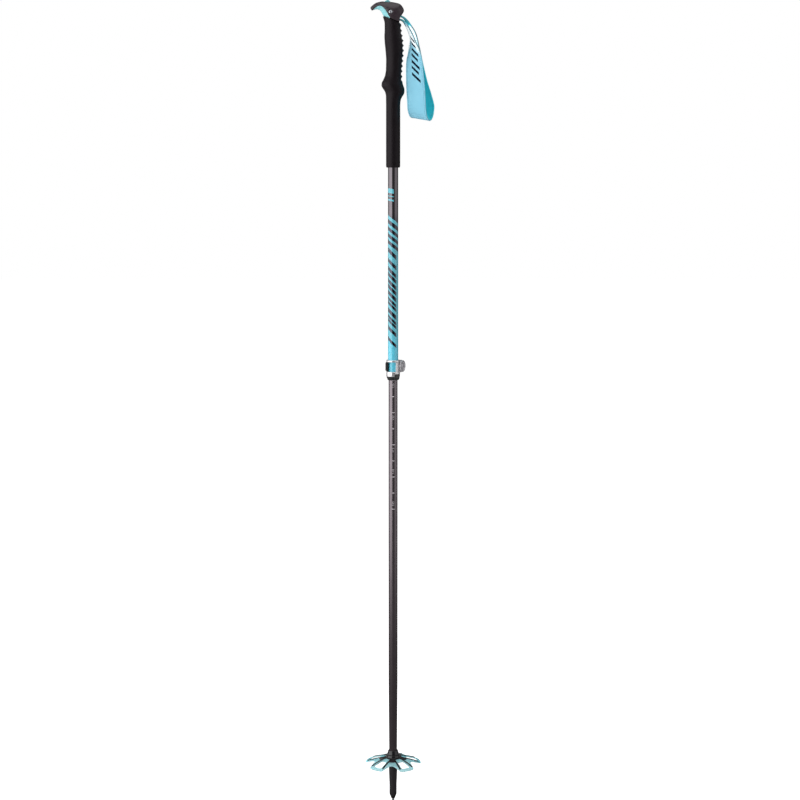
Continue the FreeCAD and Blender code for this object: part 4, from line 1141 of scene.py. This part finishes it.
world = bpy.data.worlds.new("studio")
SCENE.world = world
world.use_nodes = True
wt = world.node_tree
wt.nodes.clear()
wo = wt.nodes.new("ShaderNodeOutputWorld")
wb = wt.nodes.new("ShaderNodeBackground")
wp = wt.nodes.new("ShaderNodeLightPath")
wm = wt.nodes.new("ShaderNodeMapRange")
wm.inputs[3].default_value = 0.12
wm.inputs[4].default_value = 1.0
wx = wt.nodes.new("ShaderNodeMath")
wx.operation = "MAXIMUM"
wt.links.new(wp.outputs["Is Camera Ray"], wx.inputs[0])
wt.links.new(wp.outputs["Is Transmission Ray"], wx.inputs[1])
wt.links.new(wx.outputs[0], wm.inputs[0])
wb.inputs[0].default_value = (1.0, 1.0, 1.0, 1.0)
wt.links.new(wm.outputs[0], wb.inputs[1])
wt.links.new(wb.outputs[0], wo.inputs[0])


def softbox(name, azimuth, dist, z, w, h, radiance, aim_z=None):
    """Azimuth in degrees from -Y towards +X."""
    a = math.radians(azimuth)
    li = bpy.data.lights.new(name, "AREA")
    li.shape = "RECTANGLE"
    li.size, li.size_y = w, h
    li.energy = radiance * math.pi * w * h
    ob = bpy.data.objects.new(name, li)
    ob.location = (math.sin(a) * dist, -math.cos(a) * dist, z)
    aim = Vector((0, 0, z if aim_z is None else aim_z)) - ob.location
    ob.rotation_mode = "QUATERNION"
    ob.rotation_quaternion = aim.to_track_quat("-Z", "Y")
    ob.visible_camera = False
    SCENE.collection.objects.link(ob)
    return ob


softbox("key_left", -62, 1.5, 0.80, 2.5, 2.4, 1.75)
softbox("fill_right", 71, 1.5, 0.80, 1.9, 2.4, 0.56)
softbox("back_left", -150, 1.7, 0.9, 1.2, 2.2, 0.5)
top = softbox("top", 0, 0.4, 2.7, 2.2, 2.2, 1.2, aim_z=0.6)

Z0 = 0.960
SLOPE = 0.33
DIST = (960.0 - 61.0) / SLOPE * MM
PXM = 641.2                                   # pixels a metre at the pole's axis
cam_data = bpy.data.cameras.new("camera")
cam = bpy.data.objects.new("camera", cam_data)
SCENE.collection.objects.link(cam)
SCENE.camera = cam
cam_data.sensor_width = 36.0
cam_data.lens = PXM * DIST / 800.0 * 36.0
SHIFT = -(400.0 - 185.0) / 800.0
cam.location = (0.0108, -DIST, Z0)
cam.rotation_euler = (math.pi / 2, 0, 0)
cam_data.clip_start, cam_data.clip_end = 0.05, 100.0
cam_data.shift_y = SHIFT
# the lens shift belongs to this place only; from anywhere else the camera looks straight
drv = cam_data.driver_add("shift_y").driver
drv.type = "SCRIPTED"
var = drv.variables.new()
var.name = "d"
var.type = "TRANSFORMS"
var.targets[0].id = cam
var.targets[0].transform_type = "LOC_Y"
var.targets[0].transform_space = "WORLD_SPACE"
drv.expression = "%.6f if d < %.6f and d > %.6f else 0.0" % (SHIFT, -DIST + 0.0005, -DIST - 0.0005)

SCENE.view_settings.view_transform = "Standard"
SCENE.view_settings.look = "None"
SCENE.view_settings.exposure = 0.0
